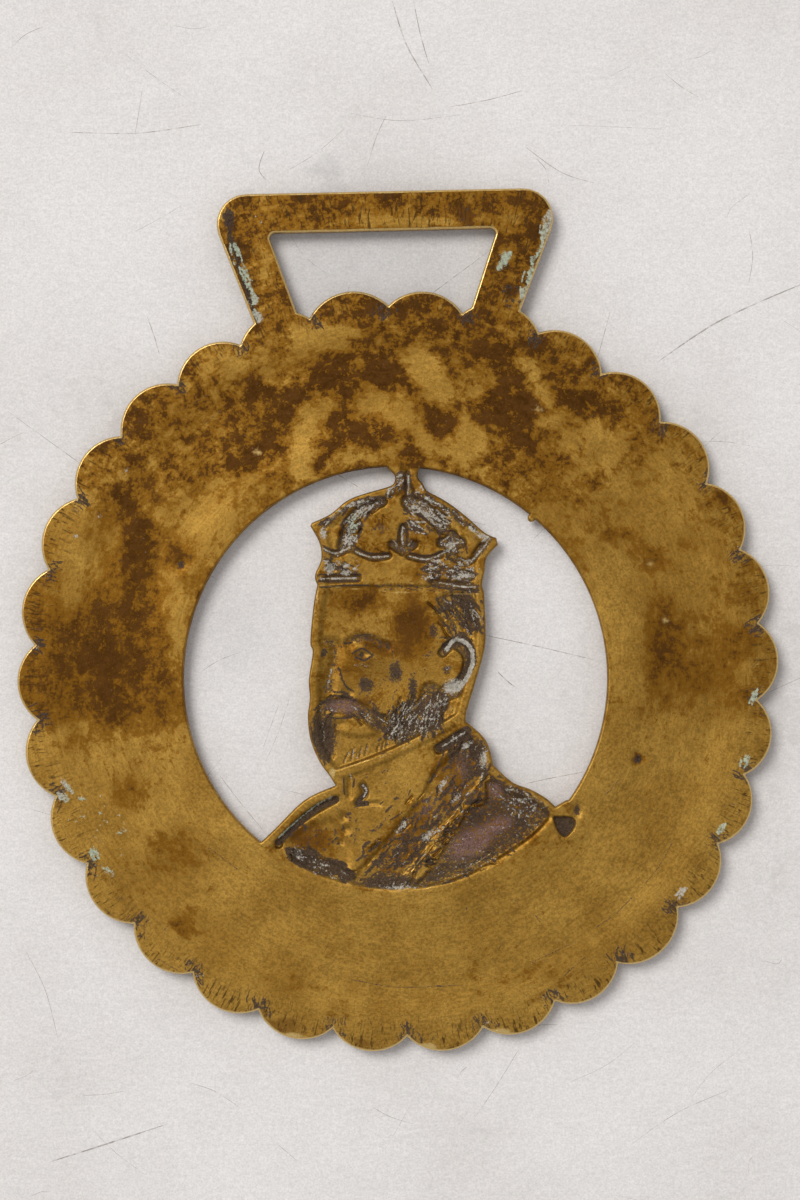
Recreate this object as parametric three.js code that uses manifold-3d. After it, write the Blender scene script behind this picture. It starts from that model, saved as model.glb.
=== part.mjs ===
// A horse brass: a scalloped ring with a strap hanger, and in its round opening a crowned, bearded bust
// that joins the ring at the crown's top and along the shoulders. It is one casting. The ring is domed on
// its front and nearly flat on its back, and the bust, raised on the front, is hollow at the back. It lies
// front down, hollow side up.
// Millimetres, +Z up. The disc's centre is at x = 0, y = 0 until the last lines centre the whole part.
import * as THREE from "three";
import { mergeVertices } from "three/addons/utils/BufferGeometryUtils.js";
import Module from "manifold-3d";

// ---- Driving dimensions ----------------------------------------------------------------------------
const THICKNESS = 1.3;             // of the brass at the ring's two lips, in the hanger and in the bust
const DOME = 0.8;                  // how far the front of the ring stands out between its lips
const DISH = 0.15;                 // and how far its back is sunk there
const RIM = THICKNESS + DOME;      // height of the lips, the hanger and the bust's plain border

const LOBES = 30;                  // scallops round the edge
const LOBE_RADIUS = 4.9;
const LOBE_ORBIT = 34.3;           // from the disc's centre to a scallop's centre
const LOBE_TURN = THREE.MathUtils.degToRad(1.6);   // direction of the first scallop
const OPENING = { x: -0.26, y: -0.69, radius: 21.8 };
const INNER_LIP = 23;              // the dome and the dish lie between these two radii
const OUTER_LIP = 36.5;
const FLANK = 4.6;                 // width of each of their sloping sides

// The hanger's outside and its slot, clockwise from the lower left.
const HANGER = [[-14.6, 35.2], [-20.1, 49.05], [17.4, 49.84], [12.0, 35.6]];
const HANGER_CORNER = 3.1;
const SLOT = [[-9.2, 33.6], [-13.4, 45.1], [10.2, 45.65], [6.3, 33.6]];
const SLOT_CORNER = 0.5;

const BORDER = 0.7;                // plain edge round the bust
const WALL = 0.6;                  // width of the slope from the border down to the figure
const GROUND = 0.15;               // depth of the figure's ground below the border
const DEEPEST = 0.75;              // and of its deepest places
const SOFTNESS = 0.8;              // reach of the softening of its front
const OVERLAP = 1;                 // how far the bust runs into the ring
const TUCK = 0.03;                 // and how far its faces stay inside the ring's there

// The head is an upright oval, seen turned by a three-quarter view. Its face has three equal thirds:
// hairline to brow, brow to the base of the nose, and base of the nose to the chin.
const HEAD = { x: -0.1, halfWidth: 7.3, halfDepth: 9.3, turn: THREE.MathUtils.degToRad(40) };
const HAIRLINE = 8.9;
const CHIN = -8.5;
const BROW = HAIRLINE + (CHIN - HAIRLINE) / 3;
const NOSE_BASE = HAIRLINE + (CHIN - HAIRLINE) * 2 / 3;
const EYES = BROW - 1.3;
const MOUTH = NOSE_BASE + (CHIN - NOSE_BASE) / 3;

// The beard's lower edge rises from a point under the chin towards the nape, over a plain collar.
const COLLAR = { x: -4, y: -9.2, slope: 0.37, bend: 0.012, width: 1.1 };

// ---- Solids ------------------------------------------------------------------------------------------
const wasm = await Module();
wasm.setup();

function solid(geometry) {
  geometry.deleteAttribute("normal");
  geometry.deleteAttribute("uv");
  const merged = mergeVertices(geometry, 1e-5);
  return new wasm.Manifold(new wasm.Mesh({
    numProp: 3,
    vertProperties: new Float32Array(merged.attributes.position.array),
    triVerts: new Uint32Array(merged.index.array),
  }));
}

// The corners of a closed outline, without those that fall on their neighbour where two curves meet.
function cornersOf(shape, curveSegments) {
  const points = shape.getPoints(curveSegments);
  return points.filter((point, k) => point.distanceTo(points.at(k - 1)) > 0.02);
}

function plate(shape, bottom, top, curveSegments) {
  const outline = new THREE.Shape(cornersOf(shape, curveSegments));
  const geometry = new THREE.ExtrudeGeometry(outline, { depth: top - bottom, bevelEnabled: false });
  geometry.translate(0, 0, bottom);
  return solid(geometry);
}

// A cutter with the shape's outline that passes through the whole brass.
function through(shape, curveSegments) {
  return plate(shape, -1, RIM + 1, curveSegments);
}

// ---- Ring --------------------------------------------------------------------------------------------
// 0 at the lips and 1 across the flat middle of the ring, along half a cosine wave on each side.
function swell(r) {
  const t = THREE.MathUtils.clamp(Math.min(r - INNER_LIP, OUTER_LIP - r) / FLANK, 0, 1);
  return (1 - Math.cos(Math.PI * t)) / 2;
}

function sectionRadii(stepsInFlank) {
  const radii = [OPENING.radius - 1.5];
  for (let k = 0; k <= stepsInFlank; k += 1) radii.push(INNER_LIP + FLANK * k / stepsInFlank);
  for (let k = stepsInFlank; k >= 0; k -= 1) radii.push(OUTER_LIP - FLANK * k / stepsInFlank);
  radii.push(LOBE_ORBIT + LOBE_RADIUS + 1);
  return radii;
}

function ring() {
  const front = sectionRadii(3).map((r) => new THREE.Vector2(r, DOME * (1 - swell(r))));
  const back = sectionRadii(2).map((r) => new THREE.Vector2(r, RIM - DISH * swell(r)));
  const geometry = new THREE.LatheGeometry([...front, ...back.reverse(), front[0].clone()], 80);
  geometry.rotateX(Math.PI / 2);
  return solid(geometry);
}

// Each scallop is an arc between the two notches where its circle meets its neighbours'.
function scallops() {
  const half = Math.PI / LOBES;
  const notch = LOBE_ORBIT * Math.cos(half)
    + Math.sqrt(LOBE_RADIUS ** 2 - (LOBE_ORBIT * Math.sin(half)) ** 2);
  const sweep = Math.atan2(notch * Math.sin(half), notch * Math.cos(half) - LOBE_ORBIT);
  const shape = new THREE.Shape();
  for (let k = 0; k < LOBES; k += 1) {
    const turn = LOBE_TURN + 2 * half * k;
    const x = LOBE_ORBIT * Math.cos(turn);
    const y = LOBE_ORBIT * Math.sin(turn);
    shape.absarc(x, y, LOBE_RADIUS, turn - sweep, turn + sweep, false);
  }
  return shape;
}

function circle(x, y, radius) {
  return new THREE.Shape().absarc(x, y, radius, 0, 2 * Math.PI, false);
}

// ---- Hanger ------------------------------------------------------------------------------------------
// A clockwise outline of straight sides. The second and third corners are rounded.
function hangerOutline(corners, radius) {
  const shape = new THREE.Shape();
  corners.forEach(([x, y], k) => {
    const corner = new THREE.Vector2(x, y);
    const back = new THREE.Vector2(...corners.at(k - 1)).sub(corner).normalize();
    const ahead = new THREE.Vector2(...corners[(k + 1) % corners.length]).sub(corner).normalize();
    if (k === 1 || k === 2) {
      const half = Math.acos(back.dot(ahead)) / 2;
      const reach = radius / Math.tan(half);
      const centre = back.clone().add(ahead).setLength(radius / Math.sin(half)).add(corner);
      const start = corner.clone().addScaledVector(back, reach);
      const end = corner.clone().addScaledVector(ahead, reach);
      shape.lineTo(start.x, start.y);
      shape.absarc(centre.x, centre.y, radius, start.sub(centre).angle(), end.sub(centre).angle(), true);
    } else if (k === 0) {
      shape.moveTo(x, y);
    } else {
      shape.lineTo(x, y);
    }
  });
  return shape;
}

// ---- Relief tools ------------------------------------------------------------------------------------
const { clamp, smoothstep, lerp } = THREE.MathUtils;

function segmentDistance(x, y, ax, ay, bx, by) {
  const dx = bx - ax;
  const dy = by - ay;
  const length = dx * dx + dy * dy || 1;
  const t = clamp(((x - ax) * dx + (y - ay) * dy) / length, 0, 1);
  return Math.hypot(x - ax - t * dx, y - ay - t * dy);
}

// Distance from a smooth line through the points.
function lineDistance(points) {
  const curve = new THREE.SplineCurve(points.map((p) => new THREE.Vector2(...p)));
  const line = curve.getPoints(points.length * 4);
  return (x, y) => {
    let nearest = Infinity;
    for (let k = 1; k < line.length; k += 1) {
      const d = segmentDistance(x, y, line[k - 1].x, line[k - 1].y, line[k].x, line[k].y);
      nearest = Math.min(nearest, d);
    }
    return nearest;
  };
}

// Distance in from a closed outline, negative outside it.
function insideDistance(outline) {
  return (x, y) => {
    let nearest = Infinity;
    let inside = false;
    outline.forEach((b, k) => {
      const a = outline.at(k - 1);
      nearest = Math.min(nearest, segmentDistance(x, y, a.x, a.y, b.x, b.y));
      const crosses = (a.y > y) !== (b.y > y) && x < a.x + (b.x - a.x) * (y - a.y) / (b.y - a.y);
      if (crosses) inside = !inside;
    });
    return inside ? nearest : -nearest;
  };
}

// A sunk line: full depth to halfWidth from the line, then a slope as wide as edge.
function groove(points, halfWidth, depth, edge = 0.35) {
  const distance = lineDistance(points);
  return (x, y) => depth * (1 - smoothstep(distance(x, y), halfWidth - edge / 2, halfWidth + edge / 2));
}

// A sunk area with a smooth outline through the points.
function pocket(points, depth, edge = 0.5) {
  const curve = new THREE.SplineCurve([...points, points[0]].map((p) => new THREE.Vector2(...p)));
  const distance = insideDistance(curve.getPoints(points.length * 4));
  return (x, y) => depth * smoothstep(distance(x, y), -edge / 2, edge / 2);
}

// A soft round hollow, or a swelling where its depth is negative.
function dimple(cx, cy, rx, ry, depth, tilt = 0) {
  const cos = Math.cos(tilt);
  const sin = Math.sin(tilt);
  return (x, y) => {
    const u = ((x - cx) * cos + (y - cy) * sin) / rx;
    const v = ((y - cy) * cos - (x - cx) * sin) / ry;
    return depth * Math.exp(-(u * u + v * v) * 1.5);
  };
}

function sum(features) {
  return (x, y) => features.reduce((depth, feature) => depth + feature(x, y), 0);
}

function deepest(features) {
  return (x, y) => features.reduce((depth, feature) => Math.max(depth, feature(x, y)), 0);
}

// ---- Crown -------------------------------------------------------------------------------------------
const crown = deepest([
  groove([[-5.65, 12.9], [-5.25, 14.3], [-4.6, 15.8], [-3.6, 16.85], [-1.75, 17.6]], 0.6, 0.4),
  groove([[1.1, 17.5], [3.1, 16.4], [4.6, 14.9]], 0.75, 0.4),
  groove([[-7.5, 15.0], [-5.6, 16.7], [-3.9, 17.6], [-1.9, 17.95]], 0.25, 0.25),
  groove([[2.1, 17.9], [4.4, 17.1], [6.6, 15.6], [8.3, 14.2]], 0.25, 0.25),
  groove([[-7.8, 12.7], [-6.4, 12.15], [-4.95, 12.8]], 0.3, 0.35),
  groove([[-4.4, 12.5], [-2.6, 11.75], [-1.0, 11.95]], 0.3, 0.35),
  groove([[1.1, 11.9], [3.2, 11.55], [4.5, 12.1]], 0.3, 0.35),
  groove([[5.9, 11.6], [7.1, 11.25], [8.1, 11.95]], 0.3, 0.35),
  groove([[8.1, 12.1], [9.4, 13.7]], 0.45, 0.4),
  groove([[-8.0, 9.5], [-4.2, 9.65]], 0.35, 0.35),
  groove([[3.7, 9.1], [8.1, 8.7]], 0.4, 0.35),
  groove([[0.45, 12.4], [0.55, 14.8]], 0.4, 0.4),
  groove([[-0.6, 13.1], [0.5, 12.5], [1.6, 13.1]], 0.4, 0.4),
  groove([[5.5, 12.2], [5.5, 14.0]], 0.6, 0.4),
  groove([[4.5, 13.3], [6.5, 13.3]], 0.5, 0.4),
  groove([[-5.1, 13.0], [-5.0, 14.2]], 0.7, 0.35),
  groove([[-7.2, 10.7], [-6.8, 10.7]], 0.35, 0.3),
  groove([[-5.45, 10.9], [-5.45, 10.2]], 0.3, 0.3),
  groove([[6.5, 9.9], [7.5, 9.9]], 0.5, 0.3),
  groove([[-0.9, 18.3], [0.0, 20.0], [0.3, 20.3]], 0.45, 0.35),
  groove([[1.2, 18.3], [1.0, 20.3]], 0.4, 0.35),
]);

// ---- Head --------------------------------------------------------------------------------------------
// Where a point of the head's oval shows in the turned view. The angle is 0 at the middle of the face
// and positive towards the near ear, and proud is how far the point stands out in front of the oval.
function onHead(degrees, y, proud = 0) {
  const angle = THREE.MathUtils.degToRad(degrees);
  const side = (HEAD.halfWidth + proud) * Math.sin(angle);
  const forward = (HEAD.halfDepth + proud) * Math.cos(angle);
  return [HEAD.x + side * Math.cos(HEAD.turn) - forward * Math.sin(HEAD.turn), y];
}

function dome(x, y) {
  const u = (x - HEAD.x) / 9.2;
  const v = (y - (HAIRLINE + CHIN) / 2) / 14;
  return 0.22 * Math.sqrt(clamp(1 - u * u - v * v, 0, 1));
}

const noseTip = onHead(0, NOSE_BASE + 0.9, 1.9);
const face = sum([
  dome,
  // brow, eye socket and eyeball on the near side, and their narrower pair on the far side
  groove([onHead(9, BROW - 0.2), onHead(22, BROW + 0.35), onHead(40, BROW - 0.5)], 0.4, 0.2, 0.6),
  groove([onHead(-12, BROW), onHead(-26, BROW)], 0.35, 0.18, 0.6),
  dimple(...onHead(21, EYES), 2.0, 1.4, -0.16),
  dimple(...onHead(-20, EYES), 0.8, 1.3, -0.14),
  dimple(...onHead(22, EYES), 0.9, 0.55, 0.24),
  dimple(...onHead(-19, EYES), 0.45, 0.5, 0.2),
  // nose, with the wing of its near side
  groove([onHead(-2, BROW - 0.4, 0.3), onHead(0, EYES - 1.2, 1), noseTip], 0.55, 0.24, 0.9),
  dimple(...noseTip, 1.0, 0.9, 0.12),
  dimple(...onHead(11, NOSE_BASE + 0.55, 0.5), 0.65, 0.6, 0.16),
  // cheekbone and lower lip
  dimple(...onHead(40, EYES - 2.9), 2.4, 1.8, 0.09),
  dimple(...onHead(3, MOUTH - 0.75, 0.5), 1.1, 0.5, 0.12),
]);

const hair = deepest([
  // moustache, near and far half
  groove([onHead(-3, NOSE_BASE - 0.7, 0.8), onHead(18, NOSE_BASE - 1.1, 0.6), onHead(36, MOUTH - 1)],
    0.75, 0.26, 0.5),
  groove([onHead(-8, NOSE_BASE - 0.7, 0.7), onHead(-30, MOUTH - 0.6, 0.3)], 0.6, 0.24, 0.5),
  // beard, with its two deeper locks and the whiskers up to the ear
  pocket([onHead(82, NOSE_BASE + 1.4), onHead(62, NOSE_BASE - 0.8), onHead(46, MOUTH - 1.2),
    onHead(20, MOUTH - 2), onHead(-22, MOUTH - 1.6), [-8.6, -8.6], [-6.3, -10.6], [-2.2, -9.4],
    [2.2, -7.4], [5.2, -5.2]], 0.14),
  groove([[-7.1, -6.4], [-7.2, -8.6]], 0.75, 0.24),
  groove([onHead(72, NOSE_BASE + 0.6), onHead(66, MOUTH - 0.4), onHead(54, MOUTH - 2)], 1.0, 0.24),
  // hair behind the temple, combed back and down in three locks
  pocket([[4.2, 7.7], [6.4, 8.2], [8.3, 7.2], [8.2, 4.4], [7.0, 3.3], [5.3, 4.1], [4.3, 5.6]], 0.16),
  ...[0, 1, 2].map((k) => groove([[4.7 + k, 7.6], [5.0 + k, 6.0], [5.9 + 0.8 * k, 4.4]], 0.22, 0.26)),
]);

// The ear is an open C that ends in a full lobe.
const ear = deepest([
  groove([onHead(82, BROW - 1.1), onHead(92, BROW - 0.2), onHead(108, BROW - 1.4), onHead(106, BROW - 3.2),
    onHead(93, NOSE_BASE + 0.9)], 0.45, 0.34, 0.3),
  groove([onHead(84, NOSE_BASE + 0.5), onHead(92, NOSE_BASE + 0.8)], 0.8, 0.34, 0.3),
]);

const head = sum([face, deepest([hair, ear])]);

// ---- Dress -------------------------------------------------------------------------------------------
const dress = deepest([
  groove([[4.2, -7.9], [7.3, -6.0]], 0.5, 0.35),
  groove([[-4.9, -11.0], [-5.0, -12.8]], 0.5, 0.25),
  groove([[-3.6, -11.7], [-3.5, -12.6], [-4.3, -13.8], [-1.7, -13.4]], 0.4, 0.3),
  groove([[-6.6, -13.1], [-9.2, -14.6], [-12.1, -16.9], [-12.3, -17.7]], 0.4, 0.4),
  dimple(-5.6, -14.9, 0.5, 0.5, 0.25),
  dimple(-5.4, -16.2, 0.5, 0.5, 0.25),
  dimple(-5.9, -17.5, 0.6, 0.5, 0.25),
  pocket([[-11.6, -17.6], [-9.2, -15.8], [-6.6, -15.2], [-5.2, -17.4], [-5.3, -20.2], [-9.0, -19.6]],
    0.15, 0.8),
  pocket([[-10.9, -18.7], [-8.8, -19.0], [-6.2, -19.8], [-4.6, -21.4], [-6.8, -21.6], [-9.4, -20.4]],
    0.32),
  // the fur band over the shoulder
  pocket([[6.9, -7.4], [8.0, -6.7], [9.3, -8.6], [8.7, -10.9], [5.2, -15.6], [0.6, -21.2], [-0.6, -23.2],
    [-4.4, -22.2], [-4.2, -20.6], [-2.4, -18.6], [2.2, -13.2], [3.6, -10.4]], 0.3),
  // the cloak's hollow
  pocket([[9.0, -11.3], [11.0, -11.2], [13.9, -12.7], [15.5, -14.3], [14.2, -16.4], [10.2, -19.2],
    [5.6, -21.6], [1.6, -22.4], [3.4, -20.2], [5.9, -16.4], [7.3, -14.2], [9.0, -13.4]], 0.45),
]);

// ---- Bust --------------------------------------------------------------------------------------------
// The silhouette goes from the stem's left foot down the face side, and from the shoulder's right end up
// the back of the head, in runs of smooth curve that meet at corners. Below it follows the opening.
const LEFT_END = THREE.MathUtils.degToRad(230.3);
const RIGHT_END = THREE.MathUtils.degToRad(323);
const FOOT_STEPS = 14;

function inRing(angle) {
  const radius = OPENING.radius + OVERLAP;
  return [OPENING.x + radius * Math.cos(angle), OPENING.y + radius * Math.sin(angle)];
}

const FACE_SIDE = [
  [[-1.5, 23], [-1.2, 21.2], [-0.35, 20.2], [-0.5, 19.3], [-1.45, 18.9]],
  [[-1.45, 18.9], [-4.9, 17.8], [-7.0, 16.2], [-9.15, 15.2]],
  [[-9.15, 15.2], [-8.1, 13.3], [-7.9, 11.6], [-8.5, 10.2]],
  [[-8.5, 10.2], [-8.55, 9.5], [-8.3, 9.0]],
  [[-8.3, 9.0], [-8.7, 6.8], onHead(-44, BROW, 0.75), onHead(-44, EYES + 0.2, 0.5),
    onHead(-44, EYES - 2.6, 0.9), onHead(-44, NOSE_BASE, 0.8), onHead(-44, MOUTH, 1), [-9.0, -7],
    [-8.1, -9.2], [-7.1, -10.6]],
  [[-7.1, -10.6], [-6.4, -11.7]],
  [[-6.4, -11.7], [-9.6, -13.2], [-12.7, -16.2], inRing(LEFT_END)],
];
const NAPE_SIDE = [
  [inRing(RIGHT_END), [17.6, -13.2], [16.2, -13.9]],
  [[16.2, -13.9], [15.2, -13.0], [13.6, -12.1], [11.8, -11.4], [9.8, -9.6]],
  [[9.8, -9.6], [9.3, -7.6], [8.5, -6.4], [6.95, -5.1]],
  [[6.95, -5.1], [7.1, -3.9], [8.1, -0.6], [8.9, 2.4], [9.0, 4.8], [8.85, 8.2]],
  [[8.85, 8.2], [8.65, 9.0], [8.9, 10.3], [9.2, 11.9], [10.85, 13.6]],
  [[10.85, 13.6], [9.1, 14.2], [7.0, 16.0], [5.0, 17.5], [2.95, 18.6]],
  [[2.95, 18.6], [2.5, 19.4], [2.0, 20.1], [2.3, 21.3], [3.0, 23]],
];

function bustOutline() {
  const shape = new THREE.Shape();
  const follow = (run) => shape.splineThru(run.slice(1).map((p) => new THREE.Vector2(...p)));
  shape.moveTo(...FACE_SIDE[0][0]);
  FACE_SIDE.forEach(follow);
  for (let k = 1; k <= FOOT_STEPS; k += 1) {
    shape.lineTo(...inRing(lerp(LEFT_END, RIGHT_END, k / FOOT_STEPS)));
  }
  NAPE_SIDE.forEach(follow);
  return shape;
}

const silhouette = bustOutline();
const fromEdge = insideDistance(cornersOf(silhouette, 2));

function fromRing(x, y) {
  return OPENING.radius - Math.hypot(x - OPENING.x, y - OPENING.y);
}

// Height above the beard's lower edge. The collar's plain strip lies under it, level with the border.
function aboveCollar(x, y) {
  const along = x - COLLAR.x;
  return y - COLLAR.y - COLLAR.slope * along - COLLAR.bend * along * along;
}

// Depth of the hollow figure below the border.
function figureDepth(x, y) {
  const inside = smoothstep(Math.min(fromEdge(x, y) - BORDER, fromRing(x, y) + WALL / 2), 0, WALL);
  if (inside === 0) return 0;
  const inCrown = smoothstep(y, HAIRLINE - 0.15, HAIRLINE + 0.15);
  const inHead = smoothstep(aboveCollar(x, y), -0.2, 0.2) * (1 - inCrown);
  const inDress = 1 - smoothstep(aboveCollar(x, y), -COLLAR.width - 0.2, -COLLAR.width + 0.2);
  const depth = GROUND * Math.max(inCrown, inHead, 0.8 * inDress)
    + crown(x, y) * inCrown + head(x, y) * inHead + dress(x, y) * inDress;
  return inside * clamp(depth, 0, DEEPEST);
}

// ---- Carved blocks -----------------------------------------------------------------------------------
// The square that is carved, its number of finest cells each way, and a cell's size.
const FIELD = { x: 1.7, y: -0.3, side: 48, cells: 128 };
const FINEST = FIELD.side / FIELD.cells;

// Heights at the corners of the finest cells.
function heightsOver(heightAt) {
  const heights = [];
  for (let j = 0; j <= FIELD.cells; j += 1) {
    const y = FIELD.y - FIELD.side / 2 + j * FINEST;
    for (let i = 0; i <= FIELD.cells; i += 1) {
      heights.push(heightAt(FIELD.x - FIELD.side / 2 + i * FINEST, y));
    }
  }
  return heights;
}

// For each corner, how far the surface would be out if no triangle were split there. Right triangles
// are halved at the middle of their long side, which is a square's side or its diagonal by turns, so
// a corner also carries the errors of the smaller triangles that need it.
function splitErrors(heights) {
  const n = FIELD.cells;
  const at = (i, j) => j * (n + 1) + i;
  const errors = new Float64Array(heights.length);
  const note = (i, j, di, dj, finer) => {
    const middle = (heights[at(i - di, j - dj)] + heights[at(i + di, j + dj)]) / 2;
    const near = finer.filter((place) => place.every((step) => step >= 0 && step <= n));
    const known = near.map((place) => errors[at(...place)]);
    errors[at(i, j)] = Math.max(Math.abs(heights[at(i, j)] - middle), ...known);
  };
  for (let half = 1; half < n; half *= 2) {
    for (let j = 0; j <= n; j += half) {
      for (let i = 0; i <= n; i += half) {
        const odd = i / half % 2;
        if (odd === j / half % 2) continue;
        const q = half / 2;
        const finer = half > 1 ? [[i - q, j - q], [i + q, j - q], [i - q, j + q], [i + q, j + q]] : [];
        note(i, j, odd ? half : 0, odd ? 0 : half, finer);
      }
    }
    for (let j = half; j < n; j += 2 * half) {
      for (let i = half; i < n; i += 2 * half) {
        const lean = (i + j - 2 * half) / (2 * half) % 2 === 0 ? half : -half;
        note(i, j, half, lean, [[i - half, j], [i + half, j], [i, j - half], [i, j + half]]);
      }
    }
  }
  return errors;
}

// A block whose upper or lower face has the given heights, with triangles only as small as it needs.
function carvedBlock(heightAt, tolerance, upward) {
  const n = FIELD.cells;
  const heights = heightsOver(heightAt);
  const errors = splitErrors(heights);
  const index = ([i, j]) => j * (n + 1) + i;
  const across = (start, steps) => start - FIELD.side / 2 + steps * FINEST;
  const place = ([i, j], z) => [across(FIELD.x, i), across(FIELD.y, j), z];
  const carved = (corner) => place(corner, heights[index(corner)]);
  const flat = (corner) => place(corner, upward ? -1 : RIM + 1);
  const triangles = [];

  // a triangle of the carved face, and under each side that lies on the block's edge a piece of its wall
  // and of its flat face
  const add = (...face) => {
    triangles.push(...face.map(carved));
    face.forEach((p, k) => {
      const q = face[(k + 1) % 3];
      const onEdge = [0, 1].some((axis) => p[axis] === q[axis] && p[axis] % n === 0);
      if (!onEdge) return;
      triangles.push(carved(q), carved(p), flat(p), flat(q), carved(q), flat(p));
      triangles.push(flat(q), flat(p), flat([n / 2, n / 2]));
    });
  };
  const split = (a, b, apex) => {
    const middle = [(a[0] + b[0]) / 2, (a[1] + b[1]) / 2];
    const size = Math.abs(a[0] - apex[0]) + Math.abs(a[1] - apex[1]);
    if (size > 1 && errors[index(middle)] > tolerance) {
      split(apex, a, middle);
      split(b, apex, middle);
    } else {
      add(a, b, apex);
    }
  };
  split([0, 0], [n, n], [0, n]);
  split([n, n], [0, 0], [n, 0]);

  const block = new THREE.BufferGeometry();
  if (!upward) triangles.reverse();
  block.setAttribute("position", new THREE.Float32BufferAttribute(triangles.flat(), 3));
  return solid(block);
}

// The front shows the same figure, softer.
function softDepth(x, y) {
  let total = 2 * figureDepth(x, y);
  for (let k = 0; k < 8; k += 1) {
    const turn = k * Math.PI / 4;
    total += figureDepth(x + SOFTNESS * Math.cos(turn), y + SOFTNESS * Math.sin(turn));
  }
  return total / 10 * smoothstep(fromRing(x, y), 0, 1.5);
}

function bust() {
  const tuck = (x, y) => (fromRing(x, y) < 0 ? TUCK : 0);
  const hollow = carvedBlock((x, y) => RIM - Math.max(figureDepth(x, y), tuck(x, y)), 0.08, true);
  const front = carvedBlock((x, y) => DOME - softDepth(x, y) + tuck(x, y), 0.1, false);
  return hollow.intersect(front).intersect(through(silhouette, 2));
}

// ---- The brass ---------------------------------------------------------------------------------------
function brass() {
  const edge = through(scallops(), 3);
  const slot = through(hangerOutline(SLOT, SLOT_CORNER), 2);
  const loop = plate(hangerOutline(HANGER, HANGER_CORNER), DOME, RIM, 4);
  const hanger = loop.subtract(slot.subtract(edge));
  const opening = through(circle(OPENING.x, OPENING.y, OPENING.radius), 48);
  return ring().intersect(edge).add(hanger).subtract(opening).add(bust());
}

const mesh = brass().getMesh();
const geometry = new THREE.BufferGeometry();
geometry.setAttribute("position", new THREE.BufferAttribute(mesh.vertProperties, 3));
geometry.setIndex(new THREE.BufferAttribute(mesh.triVerts, 1));
geometry.computeBoundingBox();
const middle = geometry.boundingBox.getCenter(new THREE.Vector3());
geometry.translate(-middle.x, -middle.y, -geometry.boundingBox.min.z);
geometry.computeVertexNormals();

const horseBrass = new THREE.Mesh(
  geometry,
  new THREE.MeshStandardMaterial({ color: 0x9a7434, roughness: 0.45, metalness: 1 }),
);
horseBrass.name = "horse_brass";

const group = new THREE.Group();
group.add(horseBrass);
export default group;
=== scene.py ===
# A horse brass lying loose, front down and hollow side up, on a pale stone table. It is one casting:
# a scalloped ring with a strap hanger, and a crowned, bearded bust in the opening.
# Sizes of the brass are in millimetres from the disc's centre, and those of the scene are in metres.
import math

import bpy
import numpy as np
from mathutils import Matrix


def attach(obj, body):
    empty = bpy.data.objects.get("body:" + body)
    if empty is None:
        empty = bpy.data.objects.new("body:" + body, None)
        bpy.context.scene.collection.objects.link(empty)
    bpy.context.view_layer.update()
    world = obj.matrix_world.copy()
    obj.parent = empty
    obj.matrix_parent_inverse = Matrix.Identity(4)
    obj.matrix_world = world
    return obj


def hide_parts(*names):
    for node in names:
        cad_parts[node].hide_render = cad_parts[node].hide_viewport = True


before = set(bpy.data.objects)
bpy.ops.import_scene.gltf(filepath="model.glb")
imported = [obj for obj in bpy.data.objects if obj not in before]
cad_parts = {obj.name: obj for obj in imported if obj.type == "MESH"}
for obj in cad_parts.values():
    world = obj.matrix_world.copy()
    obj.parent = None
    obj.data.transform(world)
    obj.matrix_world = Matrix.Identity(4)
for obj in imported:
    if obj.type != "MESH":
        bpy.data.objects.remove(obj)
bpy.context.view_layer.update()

# ==== The casting ======================================================================================
# The brass is one thin casting, so its hollow side and its front are two heights over the same plan.
# The plan is worked out on a square grid of fine cells, one array for each height or stain.
MM = 0.001
THICKNESS = 1.3                    # of the brass at the ring's lips, in the hanger and in the bust
DOME = 0.8                         # how far the front of the ring stands out between its lips
DISH = 0.15                        # and how far its back is sunk there
RIM = THICKNESS + DOME
MIDDLE = 5.3154                    # the part's middle is this far above the disc's centre
CELLS = 1024                       # on each side of the grid, a power of two so that it can be halved
CELL = 0.09
AXIS = (np.arange(CELLS + 1) - CELLS / 2) * CELL
X, Y = np.meshgrid(AXIS, AXIS + MIDDLE)
seed = np.random.default_rng(30)


def smoothstep(x, low, high):
    """0 below low, 1 above high, and 3t2 - 2t3 between them."""
    t = np.clip((x - low) / (high - low), 0, 1)
    return t * t * (3 - 2 * t)


def smooth_line(points, steps=6):
    """A Catmull-Rom curve through the points, with its ends held, as a row of points."""
    p = np.asarray(points, float)
    p = np.vstack([p[:1], p, p[-1:]])
    t = np.linspace(0, 1, steps, endpoint=False)[None, :, None]
    a, b, c, d = p[:-3, None], p[1:-2, None], p[2:-1, None], p[3:, None]
    square, cube = a - 2.5 * b + 2 * c - d / 2, 1.5 * b - a / 2 - 1.5 * c + d / 2
    line = b + t * (c - a) / 2 + t**2 * square + t**3 * cube
    return np.vstack([line.reshape(-1, 2), p[-1:]])


def line_distance(x, y, line):
    """Distance from each place to the nearest straight piece of the line."""
    nearest = np.full(np.shape(x), 1e9)
    for (ax, ay), (bx, by) in zip(line[:-1], line[1:]):
        dx, dy = bx - ax, by - ay
        t = np.clip(((x - ax) * dx + (y - ay) * dy) / (dx * dx + dy * dy + 1e-12), 0, 1)
        nearest = np.minimum(nearest, (x - ax - t * dx) ** 2 + (y - ay - t * dy) ** 2)
    return np.sqrt(nearest)


def inside_distance(x, y, outline):
    """Distance in from a closed outline, negative outside it."""
    loop = np.vstack([outline, outline[:1]])
    inside = np.zeros(np.shape(x), bool)
    for (ax, ay), (bx, by) in zip(loop[:-1], loop[1:]):
        if ay != by:
            inside ^= ((ay > y) != (by > y)) & (x < ax + (bx - ax) * (y - ay) / (by - ay))
    return np.where(inside, 1, -1) * line_distance(x, y, loop)


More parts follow.
